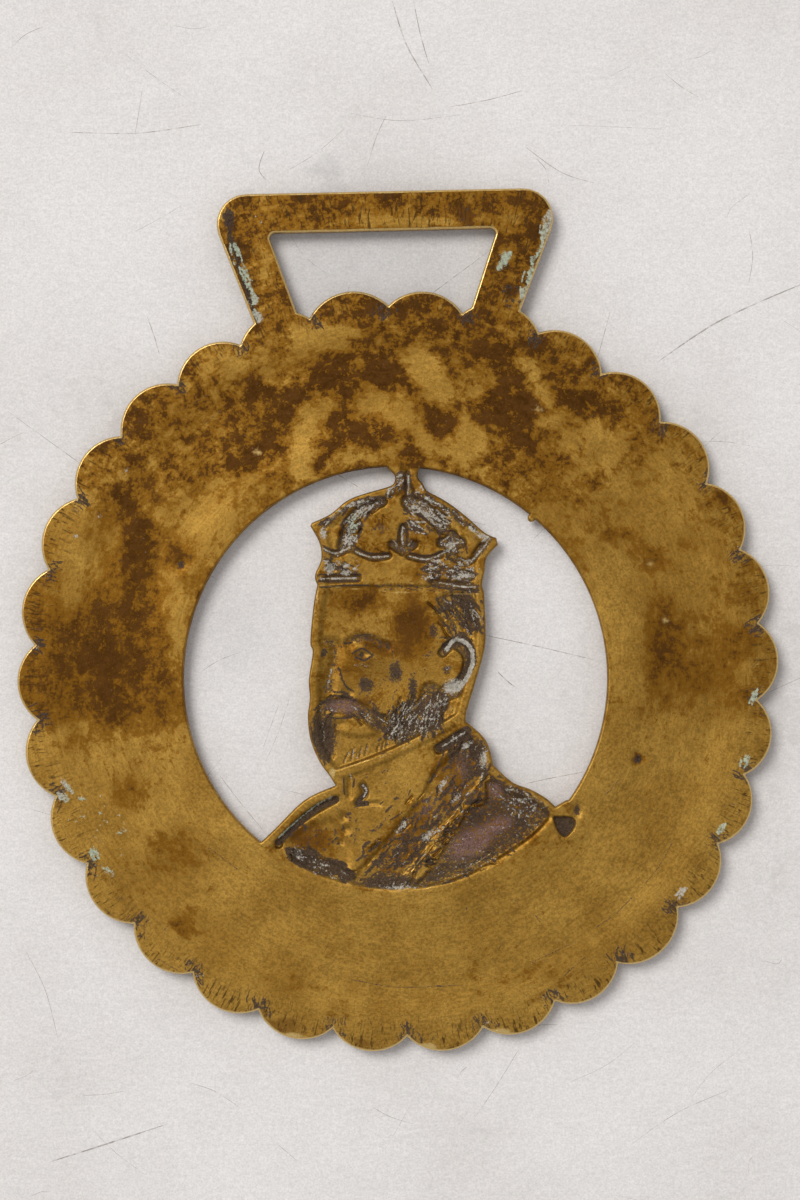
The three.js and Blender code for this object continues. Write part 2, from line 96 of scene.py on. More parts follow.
def window(low, high, reach):
    """The part of the grid from low to high, widened by reach on every side."""
    i0, j0 = (int(np.clip((v - reach) / CELL + CELLS / 2, 0, CELLS)) for v in (low[0], low[1] - MIDDLE))
    i1, j1 = (int(np.clip((v + reach) / CELL + CELLS / 2 + 2, 1, CELLS + 1))
              for v in (high[0], high[1] - MIDDLE))
    return slice(j0, j1), slice(i0, i1)


class Layer:
    """One array over the grid, a depth or the strength of a stain. Single strokes work it, and each
    joins the others by the greater value or by their sum."""

    def __init__(self, adding=False):
        self.depth = np.zeros_like(X)
        self.join = np.add if adding else np.maximum

    def work(self, low, high, reach, shape):
        part = window(low, high, reach)
        self.depth[part] = self.join(self.depth[part], shape(X[part], Y[part]))

    def groove(self, points, half_width, depth, edge=0.35):
        """A line along smooth points: full depth to half_width from it, then a slope as wide as edge."""
        line = smooth_line(points)
        self.work(line.min(0), line.max(0), half_width + edge, lambda x, y: depth * (
            1 - smoothstep(line_distance(x, y, line), half_width - edge / 2, half_width + edge / 2)))

    def pocket(self, points, depth, edge=0.5):
        """An area with a smooth outline through the points."""
        line = smooth_line([*points, points[0]])[:-1]
        self.work(line.min(0), line.max(0), edge, lambda x, y: depth * smoothstep(
            inside_distance(x, y, line), -edge / 2, edge / 2))

    def dimple(self, centre, rx, ry, depth, tilt=0.0):
        """A soft oval, exp(-1.5 r2), sunk where its depth is positive and raised where it is negative."""
        (cx, cy), cos, sin = centre, math.cos(tilt), math.sin(tilt)
        reach = 2 * max(rx, ry)
        self.work(centre, centre, reach, lambda x, y: depth * np.exp(-1.5 * (
            (((x - cx) * cos + (y - cy) * sin) / rx) ** 2 + (((y - cy) * cos - (x - cx) * sin) / ry) ** 2)))

    def fibres(self, path, spread, count, length, half_width, depth, swing=0.25):
        """Short uneven strokes scattered to both sides of a path and turned along it, give or take swing."""
        line = smooth_line(path, 12)
        for place in seed.random(count):
            k = int(place * (len(line) - 2))
            way = line[k + 1] - line[k]
            turn = math.atan2(way[1], way[0]) + seed.normal(0, swing)
            reach = length * seed.uniform(0.25, 0.6) * np.array([math.cos(turn), math.sin(turn)])
            across = np.array([-way[1], way[0]]) / (np.linalg.norm(way) + 1e-9)
            middle = line[k] + across * seed.normal(0, spread / 2)
            bend = across * seed.normal(0, length * 0.08)
            self.groove([middle - reach, middle + bend, middle + reach], half_width * seed.uniform(0.6, 1.3),
                        depth * seed.uniform(0.5, 1), 0.16)

    def specks(self, centre, rx, ry, count, size, depth):
        """Small soft dots scattered over an oval."""
        for turn, away in zip(seed.uniform(0, 2 * math.pi, count), np.sqrt(seed.random(count))):
            place = (centre[0] + rx * away * math.cos(turn), centre[1] + ry * away * math.sin(turn))
            self.dimple(place, size * seed.uniform(0.5, 1.3), size * seed.uniform(0.4, 1),
                        depth * seed.uniform(0.5, 1), seed.uniform(0, 3.1))


# ==== The ring =========================================================================================
# A ring with 30 scallops filed round its edge and a plain round opening. Its front is domed and its
# back a little dished, flat in the middle, with sides along half a cosine wave to the two lips.
LOBES = 30
LOBE_RADIUS = 4.9
LOBE_ORBIT = 34.3
LOBE_TURN = math.radians(1.6)
FILING = 0.12                      # how much the hand-filed scallops differ from each other
OPENING = (-0.26, -0.69)
OPENING_RADIUS = 21.8
INNER_LIP = 23.0
OUTER_LIP = 36.5
FLANK = 4.6

radius = np.hypot(X, Y)
angle = np.arctan2(Y, X)
lobe_step = 2 * math.pi / LOBES
lobe_angle = LOBE_TURN + lobe_step * np.arange(LOBES) + seed.normal(0, 0.003, LOBES)
lobe_size = LOBE_RADIUS + seed.normal(0, FILING, LOBES)
lobe = np.round((angle - LOBE_TURN) / lobe_step).astype(int)
ring_plan = LOBE_ORBIT - 0.5 - radius
for side in (-1, 0, 1):
    k = (lobe + side) % LOBES
    away = np.hypot(X - LOBE_ORBIT * np.cos(lobe_angle[k]), Y - LOBE_ORBIT * np.sin(lobe_angle[k]))
    ring_plan = np.maximum(ring_plan, lobe_size[k] - away)

from_ring = OPENING_RADIUS - np.hypot(X - OPENING[0], Y - OPENING[1])
flank = np.clip(np.minimum(radius - INNER_LIP, OUTER_LIP - radius) / FLANK, 0, 1)
swell = (1 - np.cos(math.pi * flank)) / 2 * (from_ring < 0)

# ==== The hanger =======================================================================================
# A flat loop at the top that takes the strap, level with the ring's back.
# Its outside and its slot are given clockwise from the lower left.
HANGER = [(-14.6, 35.2), (-20.1, 49.05), (17.4, 49.84), (12.0, 35.6)]
HANGER_CORNER = 3.1
SLOT = [(-9.2, 33.6), (-13.4, 45.1), (10.2, 45.65), (6.3, 33.6)]
SLOT_CORNER = 0.5


def round_corner(before, corner, after, size, steps=8):
    """The arc of a circle of that size that touches both sides at a corner."""
    corner = np.array(corner)
    back, ahead = (np.array(p) - corner for p in (before, after))
    back, ahead = back / np.linalg.norm(back), ahead / np.linalg.norm(ahead)
    half = math.acos(back @ ahead) / 2
    way = (back + ahead) / np.linalg.norm(back + ahead)
    centre = corner + way * size / math.sin(half)
    start = corner + back * size / math.tan(half) - centre
    sweep = -(math.pi - 2 * half)
    turn = sweep * np.linspace(0, 1, steps)[:, None]
    return centre + start * np.cos(turn) + np.array([-start[1], start[0]]) * np.sin(turn)


def loop_outline(corners, size):
    """Four corners, the two upper ones rounded."""
    upper = [round_corner(corners[k - 1], corners[k], corners[k + 1], size) for k in (1, 2)]
    return np.vstack([corners[:1], *upper, corners[3:]])


top_part = window((-24, 33), (24, 49), 2)
hanger_plan = np.full_like(X, -9.0)
hanger = inside_distance(X[top_part], Y[top_part], loop_outline(HANGER, HANGER_CORNER))
slot = inside_distance(X[top_part], Y[top_part], loop_outline(SLOT, SLOT_CORNER))
hanger_plan[top_part] = np.minimum(hanger, -np.minimum(slot, -ring_plan[top_part]))

# ==== The bust's outline ===============================================================================
# The bust fills the opening's middle. It joins the ring by the stem over the crown and along the
# shoulders. Runs of smooth curve meet at the corners of the crown, the beard and the collar.
BORDER = 0.7                       # plain edge round the bust
WALL = 0.6                         # width of the slope from the border down to the figure
GROUND = 0.15                      # depth of the figure's ground below the border
DEEPEST = 0.75                     # and of its deepest places
OVERLAP = 1.0                      # how far the bust runs into the ring
BURR = (13.75, 15.85)              # a burr on the opening's edge
BURR_RADIUS = 0.42
HEAD_X = -0.1
HEAD_HALF_WIDTH = 7.3
HEAD_HALF_DEPTH = 9.3
HEAD_TURN = math.radians(40)
HAIRLINE = 8.9
CHIN = -8.5
BROW = HAIRLINE + (CHIN - HAIRLINE) / 3
NOSE_BASE = HAIRLINE + (CHIN - HAIRLINE) * 2 / 3
EYES = BROW - 1.3
MOUTH = NOSE_BASE + (CHIN - NOSE_BASE) / 3
LEFT_END = 230.3
RIGHT_END = 323.0


def on_head(degrees, y, proud=0.0):
    """Where a point of the head's upright oval shows in its three-quarter view: 0 degrees is the middle
    of the face, the near ear is positive, and proud is how far the point stands out from the oval."""
    turn = math.radians(degrees)
    side, forward = (HEAD_HALF_WIDTH + proud) * math.sin(turn), (HEAD_HALF_DEPTH + proud) * math.cos(turn)
    return (HEAD_X + side * math.cos(HEAD_TURN) - forward * math.sin(HEAD_TURN), y)


def in_ring(degrees):
    """A point a little inside the ring, behind the opening's edge."""
    turn, reach = math.radians(degrees), OPENING_RADIUS + OVERLAP
    return (OPENING[0] + reach * math.cos(turn), OPENING[1] + reach * math.sin(turn))


FACE_SIDE = [
    [(-1.5, 23), (-1.2, 21.2), (-0.35, 20.2), (-0.5, 19.3), (-1.45, 18.9)],
    [(-1.45, 18.9), (-4.9, 17.8), (-7.0, 16.2), (-9.15, 15.2)],
    [(-9.15, 15.2), (-8.1, 13.3), (-7.9, 11.6), (-8.5, 10.2)],
    [(-8.5, 10.2), (-8.55, 9.5), (-8.3, 9.0)],
    [(-8.3, 9.0), (-8.7, 6.8), on_head(-44, BROW, 0.75), on_head(-44, EYES + 0.2, 0.5),
     on_head(-44, EYES - 2.6, 0.9), on_head(-44, NOSE_BASE, 0.8), on_head(-44, MOUTH, 1),
     (-9.0, -7), (-8.1, -9.2), (-7.1, -10.6)],
    [(-7.1, -10.6), (-6.4, -11.7)],
    [(-6.4, -11.7), (-9.6, -13.2), (-12.7, -16.2), in_ring(LEFT_END)],
]
NAPE_SIDE = [
    [in_ring(RIGHT_END), (17.6, -13.2), (16.2, -13.9)],
    [(16.2, -13.9), (15.2, -13.0), (13.6, -12.1), (11.8, -11.4), (9.8, -9.6)],
    [(9.8, -9.6), (9.3, -7.6), (8.5, -6.4), (6.95, -5.1)],
    [(6.95, -5.1), (7.1, -3.9), (8.1, -0.6), (8.9, 2.4), (9.0, 4.8), (8.85, 8.2)],
    [(8.85, 8.2), (8.65, 9.0), (8.9, 10.3), (9.2, 11.9), (10.85, 13.6)],
    [(10.85, 13.6), (9.1, 14.2), (7.0, 16.0), (5.0, 17.5), (2.95, 18.6)],
    [(2.95, 18.6), (2.5, 19.4), (2.0, 20.1), (2.3, 21.3), (3.0, 23)],
]
foot = [in_ring(d) for d in np.linspace(LEFT_END, RIGHT_END, 16)]
silhouette = np.vstack([smooth_line(run)[:-1] for run in [*FACE_SIDE, foot, *NAPE_SIDE]])
bust_part = window((-17, -25), (20, 24), 1)
from_edge = np.full_like(X, -9.0)
from_edge[bust_part] = inside_distance(X[bust_part], Y[bust_part], silhouette)

plan = np.maximum(ring_plan, hanger_plan)
plan = np.maximum(np.minimum(plan, -from_ring), from_edge)
plan = np.maximum(plan, BURR_RADIUS - np.hypot(X - BURR[0], Y - BURR[1]))

# ==== The crown ========================================================================================
crown = Layer()
CROWN_STROKES = [
    ([(-5.65, 12.9), (-5.25, 14.3), (-4.6, 15.8), (-3.6, 16.85), (-1.75, 17.6)], 0.6, 0.4),
    ([(1.1, 17.5), (3.1, 16.4), (4.6, 14.9)], 0.75, 0.4),
    ([(-7.5, 15.0), (-5.6, 16.7), (-3.9, 17.6), (-1.9, 17.95)], 0.25, 0.25),
    ([(2.1, 17.9), (4.4, 17.1), (6.6, 15.6), (8.3, 14.2)], 0.25, 0.25),
    ([(-7.8, 12.7), (-6.4, 12.15), (-4.95, 12.8)], 0.3, 0.35),
    ([(-4.4, 12.5), (-2.6, 11.75), (-1.0, 11.95)], 0.3, 0.35),
    ([(1.1, 11.9), (3.2, 11.55), (4.5, 12.1)], 0.3, 0.35),
    ([(5.9, 11.6), (7.1, 11.25), (8.1, 11.95)], 0.3, 0.35),
    ([(8.1, 12.1), (9.4, 13.7)], 0.45, 0.4),
    ([(-8.0, 9.5), (-4.2, 9.65)], 0.35, 0.35),
    ([(3.7, 9.1), (8.1, 8.7)], 0.4, 0.35),
    ([(0.45, 12.4), (0.55, 14.8)], 0.4, 0.4),
    ([(-0.6, 13.1), (0.5, 12.5), (1.6, 13.1)], 0.4, 0.4),
    ([(5.5, 12.2), (5.5, 14.0)], 0.6, 0.4),
    ([(4.5, 13.3), (6.5, 13.3)], 0.5, 0.4),
    ([(-5.1, 13.0), (-5.0, 14.2)], 0.7, 0.35),
    ([(-7.2, 10.7), (-6.8, 10.7)], 0.35, 0.3),
    ([(-5.45, 10.9), (-5.45, 10.2)], 0.3, 0.3),
    ([(6.5, 9.9), (7.5, 9.9)], 0.5, 0.3),
    ([(-0.9, 18.3), (0.0, 20.0), (0.3, 20.3)], 0.45, 0.35),
    ([(1.2, 18.3), (1.0, 20.3)], 0.4, 0.35),
]
for line, half_width, depth in CROWN_STROKES:
    crown.groove(line, half_width, depth)
for path, spread in [
    ([(-5.0, 13.4), (-4.6, 15.4), (-2.2, 17.4)], 0.7),
    ([(1.3, 17.4), (3.0, 16.5), (4.8, 15.0)], 0.9),
]:
    crown.fibres(path, spread, 26, 1.1, 0.07, 0.5)

# ==== The head =========================================================================================
face = Layer(adding=True)
nose_tip = on_head(0, NOSE_BASE + 0.9, 1.9)
face.depth += 0.22 * np.sqrt(np.clip(
    1 - ((X - HEAD_X) / 9.2) ** 2 - ((Y - (HAIRLINE + CHIN) / 2) / 14) ** 2, 0, 1))
face.groove([on_head(9, BROW - 0.2), on_head(22, BROW + 0.35), on_head(40, BROW - 0.5)], 0.4, 0.2, 0.6)
face.groove([on_head(-12, BROW), on_head(-26, BROW)], 0.35, 0.18, 0.6)
face.dimple(on_head(21, EYES), 2.0, 1.4, -0.16)
face.dimple(on_head(-20, EYES), 0.8, 1.3, -0.14)
face.dimple(on_head(22, EYES), 0.9, 0.55, 0.24)
face.dimple(on_head(-19, EYES), 0.45, 0.5, 0.2)
face.groove([on_head(-2, BROW - 0.4, 0.3), on_head(0, EYES - 1.2, 1), nose_tip], 0.55, 0.24, 0.9)
face.dimple(nose_tip, 1.0, 0.9, 0.12)
face.dimple(on_head(11, NOSE_BASE + 0.55, 0.5), 0.65, 0.6, 0.16)
face.dimple(on_head(40, EYES - 2.9), 2.4, 1.8, 0.09)
face.dimple(on_head(3, MOUTH - 0.75, 0.5), 1.1, 0.5, 0.12)

hair = Layer()
hair.groove([on_head(-3, NOSE_BASE - 0.7, 0.8), on_head(18, NOSE_BASE - 1.1, 0.6), on_head(36, MOUTH - 1)],
            0.75, 0.26, 0.5)
hair.groove([on_head(-8, NOSE_BASE - 0.7, 0.7), on_head(-30, MOUTH - 0.6, 0.3)], 0.6, 0.24, 0.5)
hair.pocket([on_head(82, NOSE_BASE + 1.4), on_head(62, NOSE_BASE - 0.8), on_head(46, MOUTH - 1.2),
             on_head(20, MOUTH - 2), on_head(-22, MOUTH - 1.6), (-8.6, -8.6), (-6.3, -10.6), (-2.2, -9.4),
             (2.2, -7.4), (5.2, -5.2)], 0.14)
hair.groove([(-7.1, -6.4), (-7.2, -8.6)], 0.75, 0.24)
hair.groove([on_head(72, NOSE_BASE + 0.6), on_head(66, MOUTH - 0.4), on_head(54, MOUTH - 2)], 1.0, 0.24)
hair.pocket([(4.2, 7.7), (6.4, 8.2), (8.3, 7.2), (8.2, 4.4), (7.0, 3.3), (5.3, 4.1), (4.3, 5.6)], 0.16)
for k in range(3):
    hair.groove([(4.7 + k, 7.6), (5.0 + k, 6.0), (5.9 + 0.8 * k, 4.4)], 0.22, 0.26)

# Hair, whiskers, the lock beside the chin and the moustache: a path, its spread and its pale strokes.
HAIR_PATHS = [
    ([(5.0, 7.4), (6.2, 5.6), (7.6, 4.0)], 2.2, 12),
    ([(6.6, 7.6), (7.6, 6.0), (8.2, 4.4)], 1.2, 12),
    ([(-0.6, -6.6), (0.6, -3.2)], 1.4, 30),
    ([(0.6, -6.4), (2.2, -3.0)], 1.5, 30),
    ([(2.2, -6.0), (3.8, -2.6)], 1.5, 30),
    ([(3.4, -5.2), (4.6, -2.4)], 1.0, 30),
    ([(-8.2, -9.0), (-8.0, -5.0)], 1.6, 12),
    ([on_head(-30, MOUTH - 0.6, 0.3), on_head(-5, NOSE_BASE - 0.7, 0.7),
      on_head(18, NOSE_BASE - 1.1, 0.6), on_head(36, MOUTH - 1)], 1.1, 12),
]
TUFTS = [[(x + 0.25 + lean, y + long), (x, y), (x - 0.1, y - 0.4)] for x, y, lean, long in zip(
    np.arange(-5.3, 4.0, 0.52) + seed.normal(0, 0.1, 18), -8.9 + 0.36 * np.arange(0, 9.3, 0.52),
    seed.normal(0, 0.16, 18), seed.uniform(0.1, 0.8, 18))]
for path, spread, _ in HAIR_PATHS:
    hair.fibres(path, spread, 34, 1.5, 0.07, 0.36)
for tuft in TUFTS:
    hair.groove(tuft, 0.1, seed.uniform(0.1, 0.27), 0.2)
hair.groove([on_head(82, BROW - 1.1), on_head(92, BROW - 0.2), on_head(108, BROW - 1.4),
             on_head(106, BROW - 3.2), on_head(93, NOSE_BASE + 0.9)], 0.45, 0.34, 0.3)
hair.groove([on_head(84, NOSE_BASE + 0.5), on_head(92, NOSE_BASE + 0.8)], 0.8, 0.34, 0.3)

# ==== The dress ========================================================================================
COLLAR = (-4.0, -9.2)
COLLAR_SLOPE = 0.37
COLLAR_BEND = 0.012
COLLAR_WIDTH = 1.1

dress = Layer()
for line, half_width, depth in [
    ([(4.2, -7.9), (7.3, -6.0)], 0.5, 0.35),
    ([(-4.9, -11.0), (-5.0, -12.8)], 0.3, 0.14),
    ([(-3.6, -11.7), (-3.4, -12.5), (-4.1, -13.5)], 0.35, 0.22),
    ([(-4.1, -13.6), (-2.0, -13.5)], 0.2, 0.12),
    ([(-6.6, -13.1), (-9.2, -14.6), (-12.1, -16.9), (-12.3, -17.7)], 0.4, 0.4),
]:
    dress.groove(line, half_width, depth)
for centre, size in [((-5.6, -14.9), 0.5), ((-5.4, -16.2), 0.5), ((-5.9, -17.5), 0.6)]:
    dress.dimple(centre, size, 0.5, 0.25)
dress.pocket([
    (-11.6, -17.6), (-9.2, -15.8), (-6.6, -15.2), (-5.2, -17.4), (-5.3, -20.2), (-9.0, -19.6)], 0.15, 0.8)
dress.pocket([
    (-10.9, -18.7), (-8.8, -19.0), (-6.2, -19.8), (-4.6, -21.4), (-6.8, -21.6), (-9.4, -20.4)], 0.32)
dress.pocket([(6.9, -7.4), (8.0, -6.7), (9.3, -8.6), (8.7, -10.9), (5.2, -15.6), (0.6, -21.2), (-0.6, -23.2),
              (-4.4, -22.2), (-4.2, -20.6), (-2.4, -18.6), (2.2, -13.2), (3.6, -10.4)], 0.3)
dress.pocket([(9.0, -11.3), (11.0, -11.2), (13.9, -12.7), (15.5, -14.3), (14.2, -16.4), (10.2, -19.2),
              (5.6, -21.6), (1.6, -22.4), (3.4, -20.2), (5.9, -16.4), (7.3, -14.2), (9.0, -13.4)], 0.45)

FUR = [(8.2, -7.4), (7.4, -10.2), (4.6, -14.4), (1.6, -18.0), (-2.2, -21.6)]
CLOAK = [
    [(9.4, -11.8), (14.6, -14.4)], [(7.6, -14.6), (13.2, -16.2)], [(5.2, -18.0), (10.6, -18.2)],
    [(3.4, -20.6), (8.2, -20.0)]]
dress.fibres(FUR, 3.0, 190, 1.3, 0.08, 0.37)
for path in CLOAK:
    dress.fibres(path, 2.0, 40, 1.1, 0.09, 0.52)
dress.fibres([(-10.6, -19.1), (-8.0, -19.9), (-5.0, -21.6)], 1.2, 40, 1.1, 0.07, 0.42)

# ==== The cast heights =================================================================================
along = X - COLLAR[0]
above_collar = Y - COLLAR[1] - COLLAR_SLOPE * along - COLLAR_BEND * along**2
inside = smoothstep(np.minimum(from_edge - BORDER, from_ring), 0, WALL)
in_crown = smoothstep(Y, HAIRLINE - 0.15, HAIRLINE + 0.15)
in_head = smoothstep(above_collar, -0.2, 0.2) * (1 - in_crown)
in_dress = 1 - smoothstep(above_collar, -COLLAR_WIDTH - 0.2, -COLLAR_WIDTH + 0.2)
figure = GROUND * np.maximum(np.maximum(in_crown, in_head), 0.8 * in_dress)
figure += crown.depth * in_crown + (face.depth + hair.depth) * in_head + dress.depth * in_dress
figure = inside * np.clip(figure, 0, DEEPEST)


def blurred(field, reach):
    """The field's mean over squares of about that reach, taken three times over, which is close to a bell."""
    steps = max(1, round(reach / CELL / 2))
    for axis in (0, 1, 0, 1, 0, 1):
        margins = [(steps + 1, steps) if a == axis else (0, 0) for a in (0, 1)]
        run = np.cumsum(np.pad(field, margins, "edge"), axis)
        last, first = [slice(None)] * 2, [slice(None)] * 2
        last[axis], first[axis] = slice(2 * steps + 1, None), slice(None, -2 * steps - 1)
        field = (run[tuple(last)] - run[tuple(first)]) / (2 * steps + 1)
    return field


soft_figure = blurred(figure, 0.8) * smoothstep(from_ring, 0, 1.5)
uneven = blurred(seed.normal(size=X.shape), 2.2)
uneven *= 0.012 / uneven.std()
flaws = Layer()
CHIP = [(16.0, -14.9), (17.9, -15.0), (18.1, -15.9), (17.2, -16.9), (16.4, -16.2)]
flaws.pocket(CHIP, 0.45, 0.3)
flaws.dimple((18.4, -14.2), 0.5, 0.8, 0.3)
flaws.dimple((24.7, -9), 0.6, 0.6, 0.15)
flaws.dimple((-22.3, 11), 0.5, 0.5, 0.12)
hollow_height = RIM - np.maximum(DISH * swell, figure) - flaws.depth + np.clip(uneven, -1, 0.03)
front_height = np.where(from_ring < 0, DOME * (1 - swell), DOME - soft_figure)

# ==== Tarnish, residue and painted light ===============================================================
# Brown tarnish lies in ragged blotches over the ring. Dark dirt and a chalky, partly green residue of old
# polish fill the sunk places of the bust, with painted shade in its deepest places and painted shadow lines
# along some walls of the crown. The edges are rubbed bright and carry a painted highlight, as do the bust's
# walls that face the light. Each stain is one layer.
tarnish, worn, dirt_and_shade, chalk, green, rust, plum, rubbed_and_highlight = (Layer() for _ in range(8))


def blots(layer, rows):
    """Soft ovals: centre, two radii, strength and, where it leans, the angle in degrees."""
    for x, y, rx, ry, strength, *lean in rows:
        layer.dimple((x, y), 1.5 * rx, 1.5 * ry, strength, math.radians(sum(lean)))


def lines(layer, half_width, strength, rows, edge=0.2):
    """Grooves of one width and strength."""
    for row in rows:
        layer.groove(row, half_width, strength, edge)


tarnish.depth += 0.30 * smoothstep(Y + 0.4 * np.sin(X), -6.2, -4.2) * (radius > 21) + 0.16 * (hanger_plan > 0)
tarnish.depth += 0.50 * np.exp(-((X + 30) / 9) ** 2 - ((Y - 1) / 9.5) ** 2) * (radius > 21)
tarnish.depth += 0.28 * np.exp(-((X - 1) / 20) ** 2 - ((Y - 28) / 6) ** 2)
tarnish.depth += 0.12 * smoothstep(Y, 14, 22) + 0.12 * np.exp(-((Y + 31) / 3) ** 2) * (X > 6)
tarnish.depth += 0.22 * smoothstep(from_ring, 0, 1) * smoothstep(Y, -9, -5) + 0.08
blots(tarnish, [
    (-16, 21.6, 3.4, 1.0, 0.9, 38), (-15.3, 20.2, 1, 1, 0.8), (-1.5, 37, 2.4, 1.2, 0.7),
    (-28, 17.5, 2.5, 2, 0.9), (-26, 20, 1.6, 1.6, 0.8), (-30, 0, 7, 4.5, 0.62), (-36, -1.5, 2, 2, 0.8),
    (-33, -7, 2.2, 1.6, 0.5), (-33, 4, 3.2, 3, 0.6), (-22.5, 12, 1.5, 1.5, 0.9), (-24, 26, 3, 2.2, 0.6),
    (-20, 30, 3, 2, 0.55), (-22, -26, 2.2, 1.6, 0.55), (-11, -32, 2.6, 1.3, 0.45),
    (-27.5, -12, 2.1, 2.1, 0.62), (-23, -18.5, 3.2, 2.4, 0.6), (-28, -21, 5, 4, 0.3),
    (0.8, 22.5, 2.2, 1.5, 0.85), (17.5, 32.5, 2.8, 2.4, 0.6), (18.5, 27.7, 2.8, 2.1, 1.0),
    (22.5, 27.5, 2, 1.8, 0.6), (16.4, 22, 2.8, 1.1, 0.9, -32), (23, 21, 2, 2, 0.6),
    (22.3, 14, 1.8, 1.6, 0.9), (25.5, 12.5, 3.5, 2.5, 0.7), (27.5, 2.5, 2.6, 6, 0.8),
    (31, 0, 5.5, 4.6, 0.62), (35, 3, 3, 2.4, 0.7), (28, 18, 3, 3, 0.35), (31.5, 13, 3, 3, 0.35),
    (33, 17.8, 1.2, 1.2, 0.9), (2, 35, 2.5, 1.2, 0.6), (0, 48.2, 16, 1.4, 0.4), (7.1, 47, 1.3, 1.2, 1.0),
    (14, 45.7, 1, 1.4, 1.0), (11.5, 39, 1.3, 2.2, 0.85), (12.6, 43.5, 1.6, 3.4, 0.6),
    (-13, 38.5, 1.8, 3, 0.5), (-16.4, 44, 1.4, 3.4, 0.35), (-3, 47.2, 3, 1, 0.5), (24.7, -9, 0.6, 0.6, 0.9),
    (14, -31, 4.4, 1.5, 0.42), (-6.4, -34.9, 1.2, 0.8, 0.5), (26, -14, 2.4, 3, 0.22),
    (-35.5, 9.5, 1.6, 3, 0.55), (29, 24, 2, 2, 0.5), (36, -2.4, 1.6, 1.6, 0.6)])
blots(tarnish, [
    (-30, 1, 8, 6.5, 0.6), (-29, 10, 5, 9, 0.55), (30, 1.5, 6.5, 6, 0.55), (26.5, 13, 4, 4, 0.5),
    (-9, 27.5, 8, 5, 0.52), (12, 28, 9, 6.5, 0.62), (1, 25, 5, 3.5, 0.5), (-16, 22, 5, 3, 0.55),
    (0, 34, 6, 3.5, 0.5), (23, 28, 4, 3, 0.45), (-4, 7.4, 2.6, 1.6, 0.85), (1.5, 4.5, 2.2, 3.5, 0.9),
    (-5, 1, 2.2, 3, 0.6), (-2, 2.6, 2.4, 0.9, 0.75, -15), (0, 14, 8, 3, 0.42), (4, 10.5, 4, 1.5, 0.6),
    (-9, -17.5, 3.5, 2.5, 0.6), (6, -10, 3, 5, 0.6), (1, -17, 5, 2.5, 0.6, 50), (10, -15, 6, 4, 0.6)])
for points, strength in [
    ([(-16.5, 28.5), (-14.7, 30.7), (-11.9, 29.8), (-9.2, 32.3), (-6.7, 33.2), (-4.4, 33), (-3.3, 31),
      (-2.4, 33.7), (-1, 32.8), (0.3, 31), (0.1, 29.1), (-2.4, 28.5), (-3.5, 29.6), (-4.7, 27.5),
      (-6.9, 27.5), (-8.3, 28.5), (-9.7, 27.3), (-11.5, 26.4), (-13.3, 26.9), (-14.9, 27.5)], 1),
    ([(-17.9, 19.8), (-15.6, 22.8), (-14, 25), (-12.2, 25.5), (-11, 24.6), (-11.7, 22.8), (-13.8, 21.4),
      (-16, 19.8)], 1),
    ([(-8.3, 23.2), (-6.7, 25), (-4.2, 26), (-1.5, 26), (0.3, 24.6), (-0.6, 23.7), (-3.3, 23.2),
      (-6.5, 22.5), (-8.1, 20), (-9.4, 20.7)], 0.95),
    ([(3.1, 30), (4.4, 32.3), (6.7, 33.7), (5.8, 35.3), (8.5, 36), (11.2, 34.6), (12.4, 32.8),
      (11.2, 30.5), (9.4, 31), (7.1, 30.5), (5.3, 29.1)], 0.9),
    ([(8.5, 27.8), (10.3, 29.6), (13, 29.6), (14.9, 27.8), (15.3, 26), (14, 25), (14.9, 22.8), (13, 22.3),
      (10.8, 23.2), (9.4, 25)], 1), ([(3.1, 24.8), (4.4, 26.2), (5.4, 25), (4.9, 23.6), (3.5, 23.9)], 0.85),
    ([(16.2, 32.3), (19.9, 31.4), (21.2, 26.4), (18.5, 23.2), (16.7, 27.3)], 0.7),
    ([(-28.7, 15.6), (-25.2, 15.6), (-24.6, 10.3), (-25.6, 5.3), (-26, 4.5), (-27.5, 4.5), (-28.7, 5.1),
      (-29.1, 8.4)], 1),
    ([(-27.7, 4.5), (-24.8, 4.1), (-22.9, 2.4), (-22.7, -2.9), (-25.2, -4), (-27.7, -2.9),
      (-28.1, 1.6)], 0.72),
    ([(-36.2, 1.2), (-34.1, 1.6), (-33.5, -1.7), (-35.9, -2.1), (-37.2, -0.5)], 0.72),
    ([(-34.7, 5.7), (-32.8, 5.3), (-33.1, 2.8), (-34.7, 2.4)], 0.68),
]:
    tarnish.pocket(points, 0.86 * strength, 1.7)
